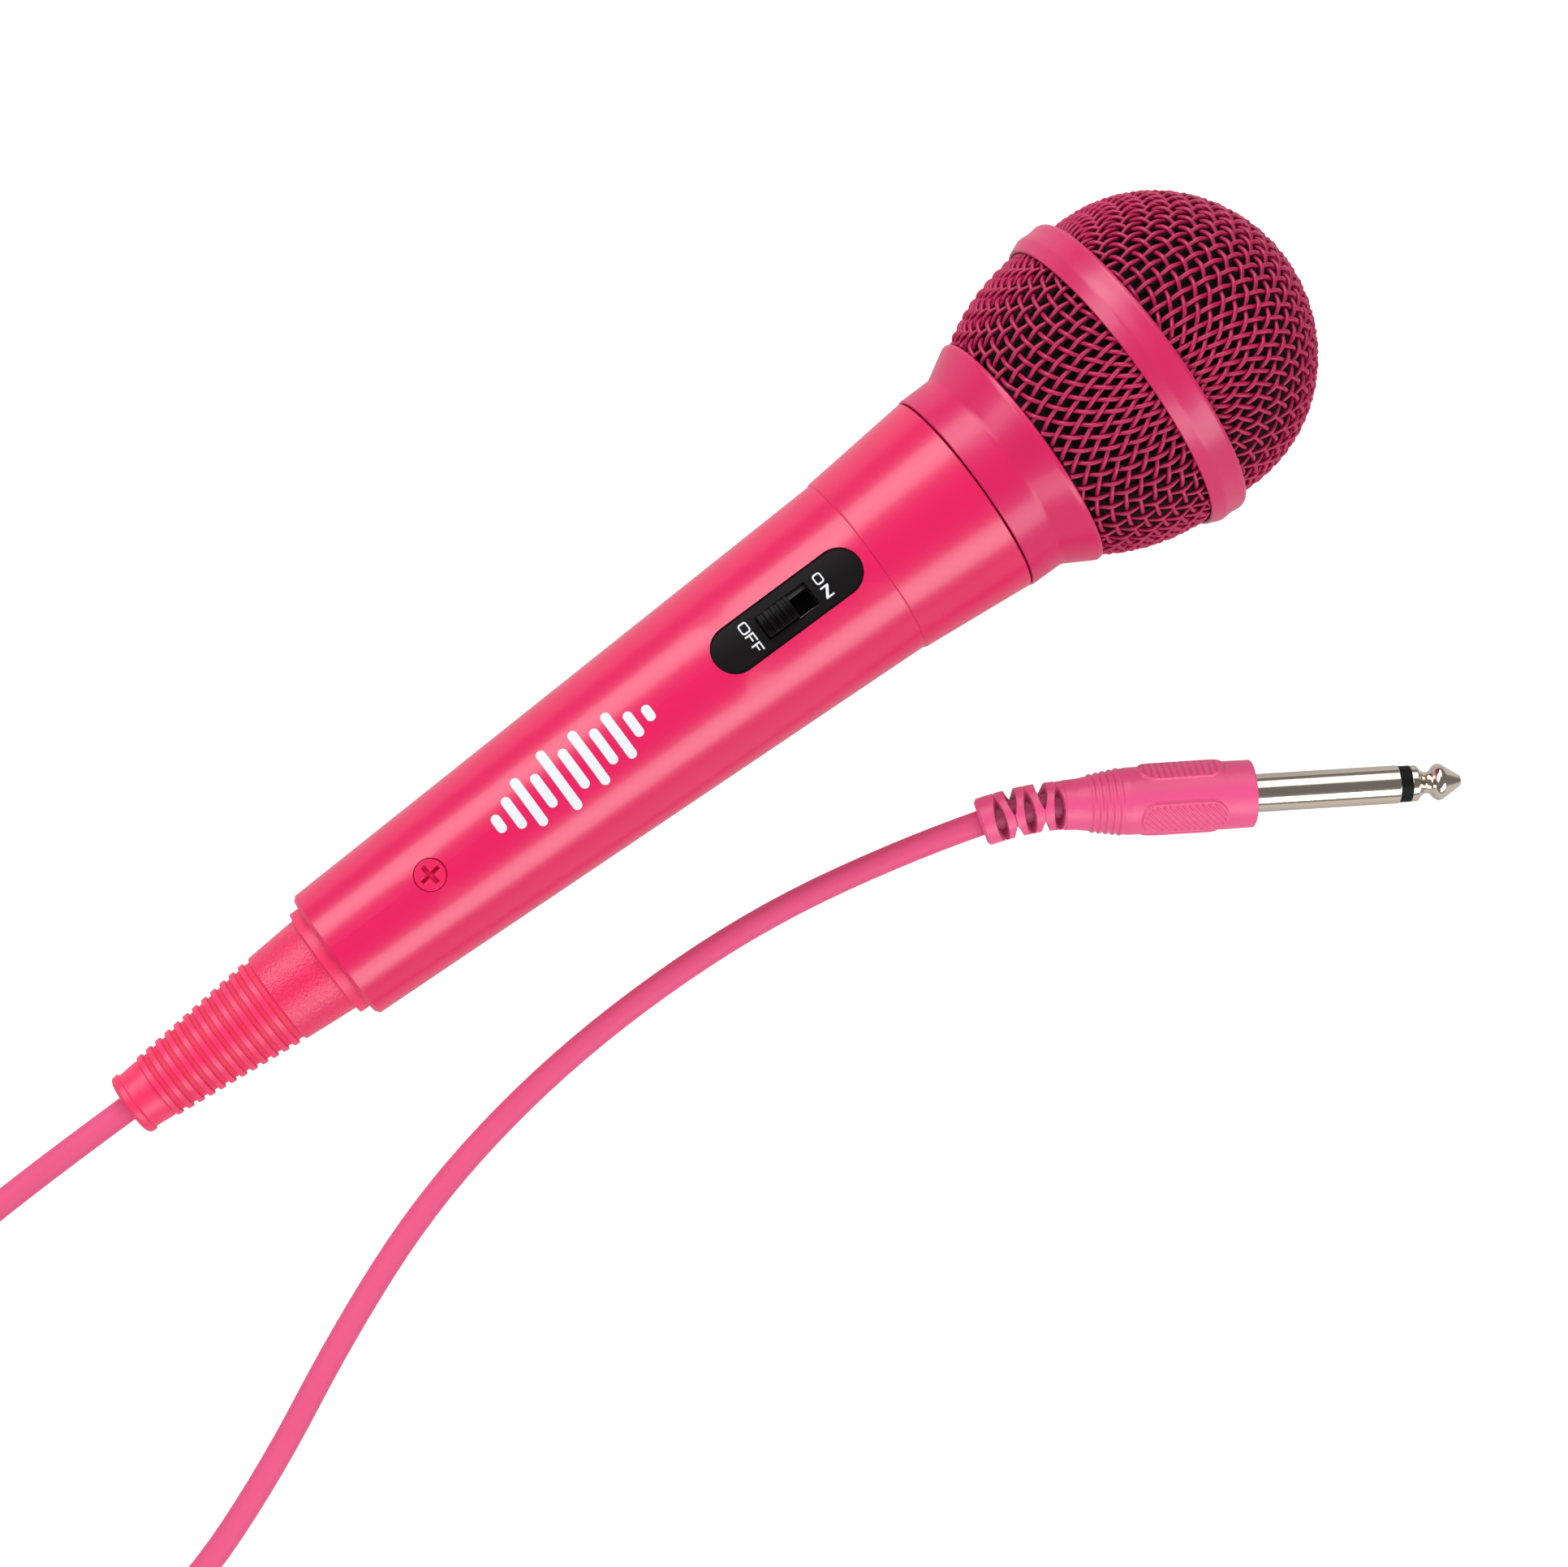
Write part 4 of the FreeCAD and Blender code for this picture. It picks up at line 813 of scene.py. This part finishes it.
def neck_shell():
    """The cone in front of the handle, with its bore and a spigot notched for the switch.

    The cone is a closed outline carried round the axis; the spigot is a wall carried from one
    flat of the notch round to the other.
    """
    outline = softened(
        [
            (144.6, SPIGOT_BORE, 0.05), (144.6, SPIGOT_RADIUS, 0.05),
            (NECK_SEAM, SPIGOT_RADIUS, 0.03), (NECK_SEAM, 15.87, 0.04), (145.32, 16.09, 0.12),
            (NECK_END - 0.1, 17.93, 0.15), (NECK_END, 17.75, 0.05), (NECK_END, 15.55, 0.05),
            (173.6, 15.55, 0.1), (173.6, 13.82, 0.1), (160.0, 13.82, 0.05),
            (160.0, SPIGOT_BORE, 0.05),
        ]
    )
    angle = full_circle(224)
    cone = round_axis(outline[:, :1], outline[:, 1:], angle[None])
    cone_faces = grid_faces(len(outline), len(angle), wrap_rows=True, wrap_columns=True)
    station = np.array([SPIGOT_START, SPIGOT_END, SPIGOT_END, SPIGOT_START])
    radius = np.array([SPIGOT_BORE, SPIGOT_BORE, SPIGOT_RADIUS, SPIGOT_RADIUS])
    notch = np.arcsin(NOTCH_HALF_WIDTH / radius)
    around = notch + np.linspace(0, 1, 160)[:, None] * (TURN - 2 * notch)
    wall = round_axis(station[None], radius[None], around)
    spigot = closed_ends(wall, wall.mean(1))
    spigot_faces = grid_faces(len(spigot), len(station), wrap_columns=True)
    points, faces = several([(cone, cone_faces), (spigot, spigot_faces)])
    piece("neck_shell", points, faces, PINK_HANDLE, "microphone", "neck_ring")


def boot_outline():
    """Lip, tail, twelve ribs, plain body and flange, then back along the cord's bore."""
    corners = [
        (0.0, BOOT_BORE, 0.1), (0.0, 4.55, 0.35), (0.45, 5.25, 0.3),
        (1.45, 5.35, 0.2), (1.75, 4.95, 0.15), (4.9, 5.25, 0.2),
    ]
    for rib in range(RIB_COUNT):
        start = RIB_START + RIB_PITCH * rib
        foot = RIB_FOOT + RIB_PITCH * rib * BOOT_TAPER
        corners += [(start + beyond, foot + up, ease) for beyond, up, ease in RIB_CORNERS]
    return corners + [
        (28.5, 7.3, 0.12), (28.75, 7.85, 0.25), (37.95, 8.55, 0.3), (38.1, 9.6, 0.2),
        (39.97, 9.6, 0.05), (39.97, 7.94, 0.05), (43.1, 7.94, 0.05), (43.1, 8.65, 0.05),
        (45.3, 8.0, 0.05), (45.3, BOOT_BORE, 0.05),
    ]


def ribbed_boot():
    """The boot: smooth lips and ribs, grooves in a darker pink that is painted shade between the
    ribs, and a leather-like plain body.
    """
    boot = turned(
        "ribbed_boot", boot_outline(), BOOT_RUBBER, "microphone", "strain_relief_boot",
        segments=160,
    )
    offset = face_centres(boot) - TAIL
    along = offset @ AXIS / MM
    radius = np.linalg.norm(offset - np.outer(offset @ AXIS, AXIS), axis=1) / MM
    phase = np.mod(along - RIB_START, RIB_PITCH)
    ribbed = (along > RIB_START) & (along < RIB_START + RIB_PITCH * RIB_COUNT) & (radius > 4.0)
    # faces in the grooves between the ribs get the darker material: painted shade where shade falls
    groove = ribbed & ((phase > 1.07) | (phase < 0.03))
    plain = (along > 28.6) & (along < 37.97) & (radius > 7.0)
    paint_faces(boot, groove + 2 * plain, BOOT_GROOVE_SHADE, BOOT_LEATHER)


neck_shell()
ribbed_boot()

# ---- printing on curved faces

INK_THICKNESS = 0.05
STRIP_WIDTH, WIDEST_PRINT = 0.4, 5.6
STROKE = 0.29
PLATE_DEPTH = 0.345
BAR_HEIGHTS = (3.2, 5.8, 9.0, 6.2, 11.2, 7.4, 10.2, 6.6, 8.6, 4.6, 2.8)
FIRST_BAR, LAST_BAR, BAR_HALF_WIDTH = 73.2, 102.2, 0.8


def rounded_slab(along, across, half_long, half_wide, corner):
    """The outline of a rectangle with rounded corners, as points (along, across)."""
    quarter = np.linspace(0, math.pi / 2, 8)
    points = []
    for index, (a, b) in enumerate(((1, 1), (-1, 1), (-1, -1), (1, -1))):
        turn = quarter + index * math.pi / 2
        middle = np.array([a * (half_long - corner), b * (half_wide - corner)])
        points.append(middle + corner * np.stack([np.cos(turn), np.sin(turn)], -1))
    return np.concatenate(points) + (along, across)


def printed(name, outlines, sunk, rings=()):
    """Thin ink on the handle's cone or on a surface sunk below it.

    Flat shapes in (along, across) are cut into narrow strips, then each point is dropped
    onto the cone, whose radius grows with the station.
    """
    work = bmesh.new()
    for outline in outlines:
        work.faces.new([work.verts.new((x, y, 0)) for x, y in outline])
    for outer, inner in rings:
        far = [work.verts.new((x, y, 0)) for x, y in outer]
        near = [work.verts.new((x, y, 0)) for x, y in inner]
        for k in range(len(far)):
            after = (k + 1) % len(far)
            work.faces.new((far[k], far[after], near[after], near[k]))
    bmesh.ops.triangulate(work, faces=work.faces)
    for level in np.arange(-WIDEST_PRINT, WIDEST_PRINT + 0.1, STRIP_WIDTH):
        everything = work.verts[:] + work.edges[:] + work.faces[:]
        bmesh.ops.bisect_plane(work, geom=everything, plane_co=(0, level, 0), plane_no=(0, 1, 0))
    mesh = bpy.data.meshes.new(name)
    work.to_mesh(mesh)
    work.free()
    flat = np.empty(len(mesh.vertices) * 3)
    mesh.vertices.foreach_get("co", flat)
    along, across = flat.reshape(-1, 3).T[:2]
    radius = handle_radius(along) - sunk
    placed = beside_axis(along, across, np.sqrt(radius**2 - across**2))
    mesh.vertices.foreach_set("co", placed.ravel())
    mesh.update()
    mesh.materials.append(WHITE_PRINT)
    made = bpy.data.objects.new(name, mesh)
    scene.collection.objects.link(made)
    thickness = made.modifiers.new("ink", "SOLIDIFY")
    thickness.thickness = INK_THICKNESS * MM
    thickness.offset = 1.0
    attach(made, "microphone")


def sound_bars():
    """A generic level mark: upright bars with round ends, of rising and falling height."""
    stations = np.linspace(FIRST_BAR, LAST_BAR, len(BAR_HEIGHTS))
    bars = [
        rounded_slab(station, 0.0, BAR_HALF_WIDTH, height / 2, 0.79)
        for station, height in zip(stations, BAR_HEIGHTS)
    ]
    printed("sound_bars", bars, sunk=-0.01)


# Letters lie between a foot and a head station, and read from the first side to the last.


def letter_o(foot, head, first, last):
    """A wide ring with rounded corners, as an outer and an inner outline."""
    middle, across = (foot + head) / 2, (first + last) / 2
    tall, wide = abs(head - foot) / 2, abs(last - first) / 2
    outer = rounded_slab(middle, across, tall, wide, 0.5)
    inner = rounded_slab(middle, across, tall - STROKE * 0.8, wide - STROKE, 0.25)
    return outer, inner


def letter_n(foot, head, first, last):
    """Two uprights and a slanted stroke, as one outline."""
    a, b = first - STROKE, last + STROKE
    return [
        (foot, first), (head, first), (head, a), (foot + 0.55, b), (head, b),
        (head, last), (foot, last), (foot, b), (head - 0.55, a), (foot, a),
    ]


def letter_f(foot, head, first, last):
    """An upright with a long and a short arm, as one outline."""
    a = first - STROKE
    bar, middle = STROKE * 0.85, (foot + head) / 2 - 0.02
    return [
        (foot, first), (head, first), (head, last), (head - bar, last), (head - bar, a),
        (middle + bar / 2, a), (middle + bar / 2, last + 0.25), (middle - bar / 2, last + 0.25),
        (middle - bar / 2, a), (foot, a),
    ]


def switch_lettering():
    """ON towards the head and OFF towards the cord, read across the handle."""
    on, off = (135.3, 136.8), (121.3, 122.9)
    printed(
        "switch_letters",
        [
            letter_n(*on, -0.29, -2.33),
            letter_f(*off, 0.54, -0.97),
            letter_f(*off, -1.24, -2.71),
        ],
        sunk=PLATE_DEPTH,
        rings=[letter_o(*on, 2.06, 0.19), letter_o(*off, 2.72, 0.79)],
    )


sound_bars()
switch_lettering()

# ---- slide button and anchor screw

# carrier, stem and thumb piece: first and last station, half width, bottom, top, groove stations
BUTTON_PARTS = (
    (120.9, 133.95, 2.55, 8.24, 10.08, ()),
    (125.1, 129.7, 1.45, 9.9, 12.4, ()),
    (124.45, 130.28, 1.98, 12.2, 15.9, (125.4, 126.75, 128.05, 129.35)),
)
GROOVE_DEPTH, BUTTON_BEVEL = 0.38, 0.15
SCREW_STATION = 59.9
SCREW_TURN = math.radians(9.0)


def slide_button():
    """A ridged thumb piece on a stem and a long carrier, which shuts the slot at both ends.

    Every part is a row of bevelled rectangles; the top of the thumb piece steps down in its
    four grooves.
    """
    parts = []
    for first, last, half_wide, low, high, grooves in BUTTON_PARTS:
        along = np.linspace(first, last, 160)
        near_end = np.minimum(along - first, last - along)
        top = high - 0.12 * (1 - eased(near_end, 0.0, 0.15))
        for groove in grooves:
            top = top - GROOVE_DEPTH * eased(-abs(along - groove), -0.32, -0.22)
        bottom, edge = low + 0 * top, top - BUTTON_BEVEL
        level = np.stack([bottom, bottom, edge, top, top, edge], 1)
        across = half_wide * np.array([-1, 1, 1, 0.93, -0.93, -1])[None] + 0 * level
        rings = np.stack([along[:, None] + 0 * level, across, level], -1)
        centres = np.array([(along[0], 0, (low + high) / 2), (along[-1], 0, (low + high) / 2)])
        loops = closed_ends(rings, centres)
        points = beside_axis(*np.moveaxis(loops, -1, 0))
        parts.append((points, grid_faces(len(loops), loops.shape[1], wrap_columns=True)))
    points, faces = several(parts)
    piece("slide_button", points, faces, BLACK_KNOB, "switch_slider", "switch_knob")


def cross_screw():
    """The painted screw that holds the cord anchor, with a cross-shaped recess in its head.

    The head is a disc in rings; its surface drops where a point lies inside either arm of
    the cross.  Below the head the outline steps in to the shank.
    """
    head_radius, shank_radius = 2.67, 1.25
    top, seat, foot = 12.1, 10.66, 4.0
    half_length, half_width, recess = 1.85, 0.44, 0.80
    rings = np.linspace(0, head_radius, 64)[:, None]
    angle = full_circle(176)[None]
    forward, sideways = rings * np.cos(angle), rings * np.sin(angle)
    p = forward * math.cos(SCREW_TURN) + sideways * math.sin(SCREW_TURN)
    q = sideways * math.cos(SCREW_TURN) - forward * math.sin(SCREW_TURN)
    arm = np.minimum(
        np.maximum(abs(p) - half_length, abs(q) - half_width),
        np.maximum(abs(q) - half_length, abs(p) - half_width),
    )
    edge = 0.30 * eased(rings, head_radius - 0.34, head_radius) ** 2
    level = top - edge - recess * eased(-arm, -0.04, 0.36)
    radii = np.array([[head_radius], [shank_radius], [shank_radius], [0.0]])
    below = np.array([[seat], [seat], [foot], [foot]]) + 0 * angle
    forward = np.concatenate([forward, radii * np.cos(angle)])
    sideways = np.concatenate([sideways, radii * np.sin(angle)])
    points = beside_axis(SCREW_STATION + forward, sideways, np.concatenate([level, below]))
    faces = grid_faces(*forward.shape, wrap_columns=True)
    piece("cross_screw", points, faces, PINK_SCREW, "microphone", "anchor_screw")


slide_button()
cross_screw()

# ---- plug

jack_mount = next(m for m in frame["record"]["mounts"] if m["name"] == "jack_plug")
PLUG_AXIS = np.array(jack_mount["axis"]) / np.linalg.norm(jack_mount["axis"])
PLUG_LEFT = np.array([-PLUG_AXIS[1], PLUG_AXIS[0], 0.0])
UPRIGHT = np.array([0.0, 0.0, 1.0])
SLEEVE_LENGTH, SLEEVE_RADIUS, RING_LENGTH = 23.8, 3.17, 2.0
SHOULDER = np.array(jack_mount["pos_m"]) - PLUG_AXIS * SLEEVE_LENGTH / 2 * MM
PLUG_TAIL = 32.3

GRIP_FRONT, GRIP_BORE = -0.85, 3.2
# the grip's radius at some distances behind its front
GRIP_DISTANCES = [0, 0.02, 0.15, 5, 21.0, 27.2, 29.4, PLUG_TAIL + GRIP_FRONT]
GRIP_RADII = [5.4, 5.45, 5.58, 5.62, 5.55, 4.55, 4.2, 4.1]
WIDEST_GRIP, MEAN_GRIP_RADIUS = 6.07, 5.7
RINGS_MIDDLE, RINGS_REACH, RING_PITCH, RING_HEIGHT = -25.6, 2.85, 1.12, 0.24
PAD_ANGLES = np.radians([53.0, -46.0, 143.0, -136.0])
SLANTED_PADS, SLANT = (1, 2), 0.9
PAD_MIDDLE, PAD_HALF_LENGTH, PAD_RIB_PITCH = -13.0, 4.3, 1.08
PAD_HEIGHT, PAD_GROOVE = 0.42, 0.30

RELIEF_RADIUS = 4.0
RELIEF_ELBOW = SHOULDER / MM - PLUG_AXIS * (PLUG_TAIL + 6.5)
SLOT_ROWS, FIRST_SLOT, SLOT_PITCH = 5, 1.15, 2.38
SLOT_HALF_WIDTH, SLOT_HALF_ANGLE, SLOT_DEPTH = 0.86, math.radians(74), 1.85
SLOT_ANGLES = np.radians([-30.0, 60.0])


def round_plug(along, radius, angle):
    """Points round the plug's axis, from its shoulder; angles grow from the top to the left."""
    along, radius, angle = np.broadcast_arrays(along, radius, angle)
    return SHOULDER + MM * (
        along[..., None] * PLUG_AXIS
        + (radius * np.sin(angle))[..., None] * PLUG_LEFT
        + (radius * np.cos(angle))[..., None] * UPRIGHT
    )


def angle_from(angle, middle):
    """The angle measured from a middle, between minus and plus half a turn."""
    return np.mod(angle - middle + math.pi, TURN) - math.pi


def plug_grip():
    """The moulded grip: taper, fine rings and four oval pads with straight or slanted ribs.

    The taper comes from a table of radii; the rings are a clipped cosine of the station; a
    pad's ribs are a cosine inside its raised rim.
    """
    along = np.concatenate([[GRIP_FRONT], np.linspace(GRIP_FRONT - 0.02, -PLUG_TAIL, 330)])
    angle = full_circle(256)
    base = np.interp(GRIP_FRONT - along, GRIP_DISTANCES, GRIP_RADII)
    rings = np.clip(np.cos((along - RINGS_MIDDLE) / RING_PITCH * TURN) + 0.35, 0, 1)
    base = base + RING_HEIGHT * rings * (abs(along - RINGS_MIDDLE) < RINGS_REACH)
    station, turn = np.meshgrid(along, angle, indexing="ij")
    radius = np.repeat(base[:, None], len(angle), 1)
    for index, middle in enumerate(PAD_ANGLES):
        across = angle_from(turn, middle) * MEAN_GRIP_RADIUS
        beyond = np.maximum(abs(station - PAD_MIDDLE) - PAD_HALF_LENGTH, 0)
        distance = np.hypot(beyond, across)
        pad = eased(-distance, -2.95, -2.75)
        inner = eased(-distance, -2.58, -2.38)
        lean = SLANT if index in SLANTED_PADS else 0.0
        ribs = 0.5 + 0.5 * np.cos((station + lean * across) / PAD_RIB_PITCH * TURN)
        radius = radius + pad * PAD_HEIGHT - inner * PAD_GROOVE * (1 - ribs)
    skin = round_plug(station, np.minimum(radius, WIDEST_GRIP), turn)
    floor, recess, front, back = (
        round_plug(np.array([[at]]), np.array([[wide]]), angle[None])
        for at, wide in ((-2.0, 0.0), (-2.0, GRIP_BORE), (GRIP_FRONT, GRIP_BORE), (-PLUG_TAIL, 0.0))
    )
    points = np.concatenate([floor, recess, front, skin, back])
    faces = grid_faces(len(points), len(angle), wrap_columns=True)
    return piece("plug_grip", points, faces, PLUG_PVC, "microphone", "plug_moulding")


def plug_relief():
    """The bending relief: a sleeve along a bent path, with staggered pairs of lens-shaped slots.

    The path is a quadratic curve; the radius drops inside each lens, and every second row of
    slots is turned a quarter round.
    """
    start = SHOULDER / MM - PLUG_AXIS * PLUG_TAIL
    t = np.linspace(0, 1, 400)[:, None]
    path = (1 - t) ** 2 * start + 2 * t * (1 - t) * RELIEF_ELBOW + t**2 * RELIEF_END
    run = running_length(path)
    steps = np.linspace(0, run[-1], 200)
    path = np.stack([np.interp(steps, run, path[:, k]) for k in range(3)], -1)
    ahead = headings(path)
    left = unit(np.cross(UPRIGHT, -ahead))
    up = np.cross(left, ahead)
    up *= np.sign(up[:, 2:])
    angle = full_circle(144)
    radius = np.full((len(steps), len(angle)), RELIEF_RADIUS)
    for row in range(SLOT_ROWS):
        middle = FIRST_SLOT + row * SLOT_PITCH
        for side in (0, math.pi):
            across = angle_from(angle, SLOT_ANGLES[row % 2] + side)[None]
            lens = SLOT_HALF_WIDTH * np.clip(1 - (across / SLOT_HALF_ANGLE) ** 2, 0, 1) ** 0.8
            depth = eased(lens - abs(steps[:, None] - middle), -0.05, 0.09)
            radius = np.minimum(radius, RELIEF_RADIUS - SLOT_DEPTH * depth)
    rim = eased(steps, run[-1] - 0.5, run[-1])[:, None]
    radius = radius * (1 - 0.12 * rim)
    skin = path[:, None] + radius[..., None] * (
        np.sin(angle)[None, :, None] * left[:, None] + np.cos(angle)[None, :, None] * up[:, None]
    )
    points = closed_ends(skin, path) * MM
    faces = grid_faces(len(points), len(angle), wrap_columns=True)
    relief = piece("plug_relief", points, faces, PLUG_PVC, "microphone")
    # faces sunk in the slots get the darker material: painted shade for the slots' hollows
    offsets = face_centres(relief)[:, None] / MM - path[None, ::4]
    sunk = np.linalg.norm(offsets, axis=-1).min(1) < RELIEF_RADIUS - 0.8
    paint_faces(relief, sunk, PLUG_SLOT_SHADE)
    return relief


def jack_contact(name, corners, material, replaces, closed=True):
    """One plated or black part, turned round the plug's axis."""
    return turned(
        name, corners, material, "microphone", replaces,
        around=round_plug, segments=128, closed=closed,
    )


def jack_contacts():
    """Sleeve, insulating ring and ball tip, with the rounded edges of plated parts."""
    end = SLEEVE_LENGTH - 0.02
    front = SLEEVE_LENGTH + RING_LENGTH
    sleeve = [
        (-9, 1.92, 0.05), (-9, 2.97, 0.05), (-1.9, 2.97, 0.02), (-1.9, SLEEVE_RADIUS, 0.05),
        (end, SLEEVE_RADIUS, 0.12), (end, 1.92, 0.05),
    ]
    ring = [
        (SLEEVE_LENGTH, 1.3, 0.02), (SLEEVE_LENGTH, 3.02, 0.08), (front - 0.03, 3.02, 0.08),
        (front - 0.03, 1.3, 0.02),
    ]
    ball = [
        (front, 0.0), (front, 3.0, 0.12), (front + 1.15, 3.0, 0.2), (front + 1.75, 2.2, 0.4),
        (front + 2.6, 1.72, 0.5), (front + 3.4, 1.9, 0.4), (front + 4.1, 2.75, 0.45),
        (front + 4.75, 3.1, 0.4), (front + 5.4, 2.95, 0.2), (front + 8.45, 0.95, 0.08),
        (front + 8.58, 0.85, 0.05), (front + 8.6, 0.0),
    ]
    return [
        jack_contact("jack_barrel", sleeve, NICKEL, "jack_sleeve"),
        jack_contact("jack_ring", ring, BLACK_PLATE, "jack_insulator"),
        jack_contact("jack_ball", ball, NICKEL, "jack_tip", closed=False),
    ]


plug_pieces = [plug_grip(), plug_relief(), *jack_contacts(), frame["nodes"]["cord_tie"]]

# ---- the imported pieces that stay

PIECE_FINISHES = {
    PINK_HANDLE: ("handle_tube",),
    BLACK_PLATE: ("switch_plate",),
    BLACK_KNOB: ("switch_base",),
    ZINC: ("switch_can", "switch_screws", "magnet_yoke", "pole_plate"),
    BRASS: ("switch_terminals", "switch_contact"),
    NATURAL_PLASTIC: ("cord_anchor", "cord_retaining_tie", "thread_insert", "capsule_frame"),
    CORD_JACKET: ("inner_cord",),
    RED_WIRE: ("cord_core_hot", "capsule_wire_hot"),
    COPPER: ("cord_core_shield", "voice_coil"),
    WHITE_WIRE: ("capsule_wire_return",),
    BLACK_RUBBER: ("capsule_holder", "capsule_cover"),
    PHENOLIC: ("terminal_board", "diaphragm_ring"),
    FERRITE: ("magnet",),
    FOAM: ("acoustic_cloth",),
    STRAP_FABRIC: ("cord_tie",),
    CLEAR_FILM: ("diaphragm",),
}

for material, names in PIECE_FINISHES.items():
    for name in names:
        mesh = frame["nodes"][name].data
        mesh.materials.clear()
        mesh.materials.append(material)
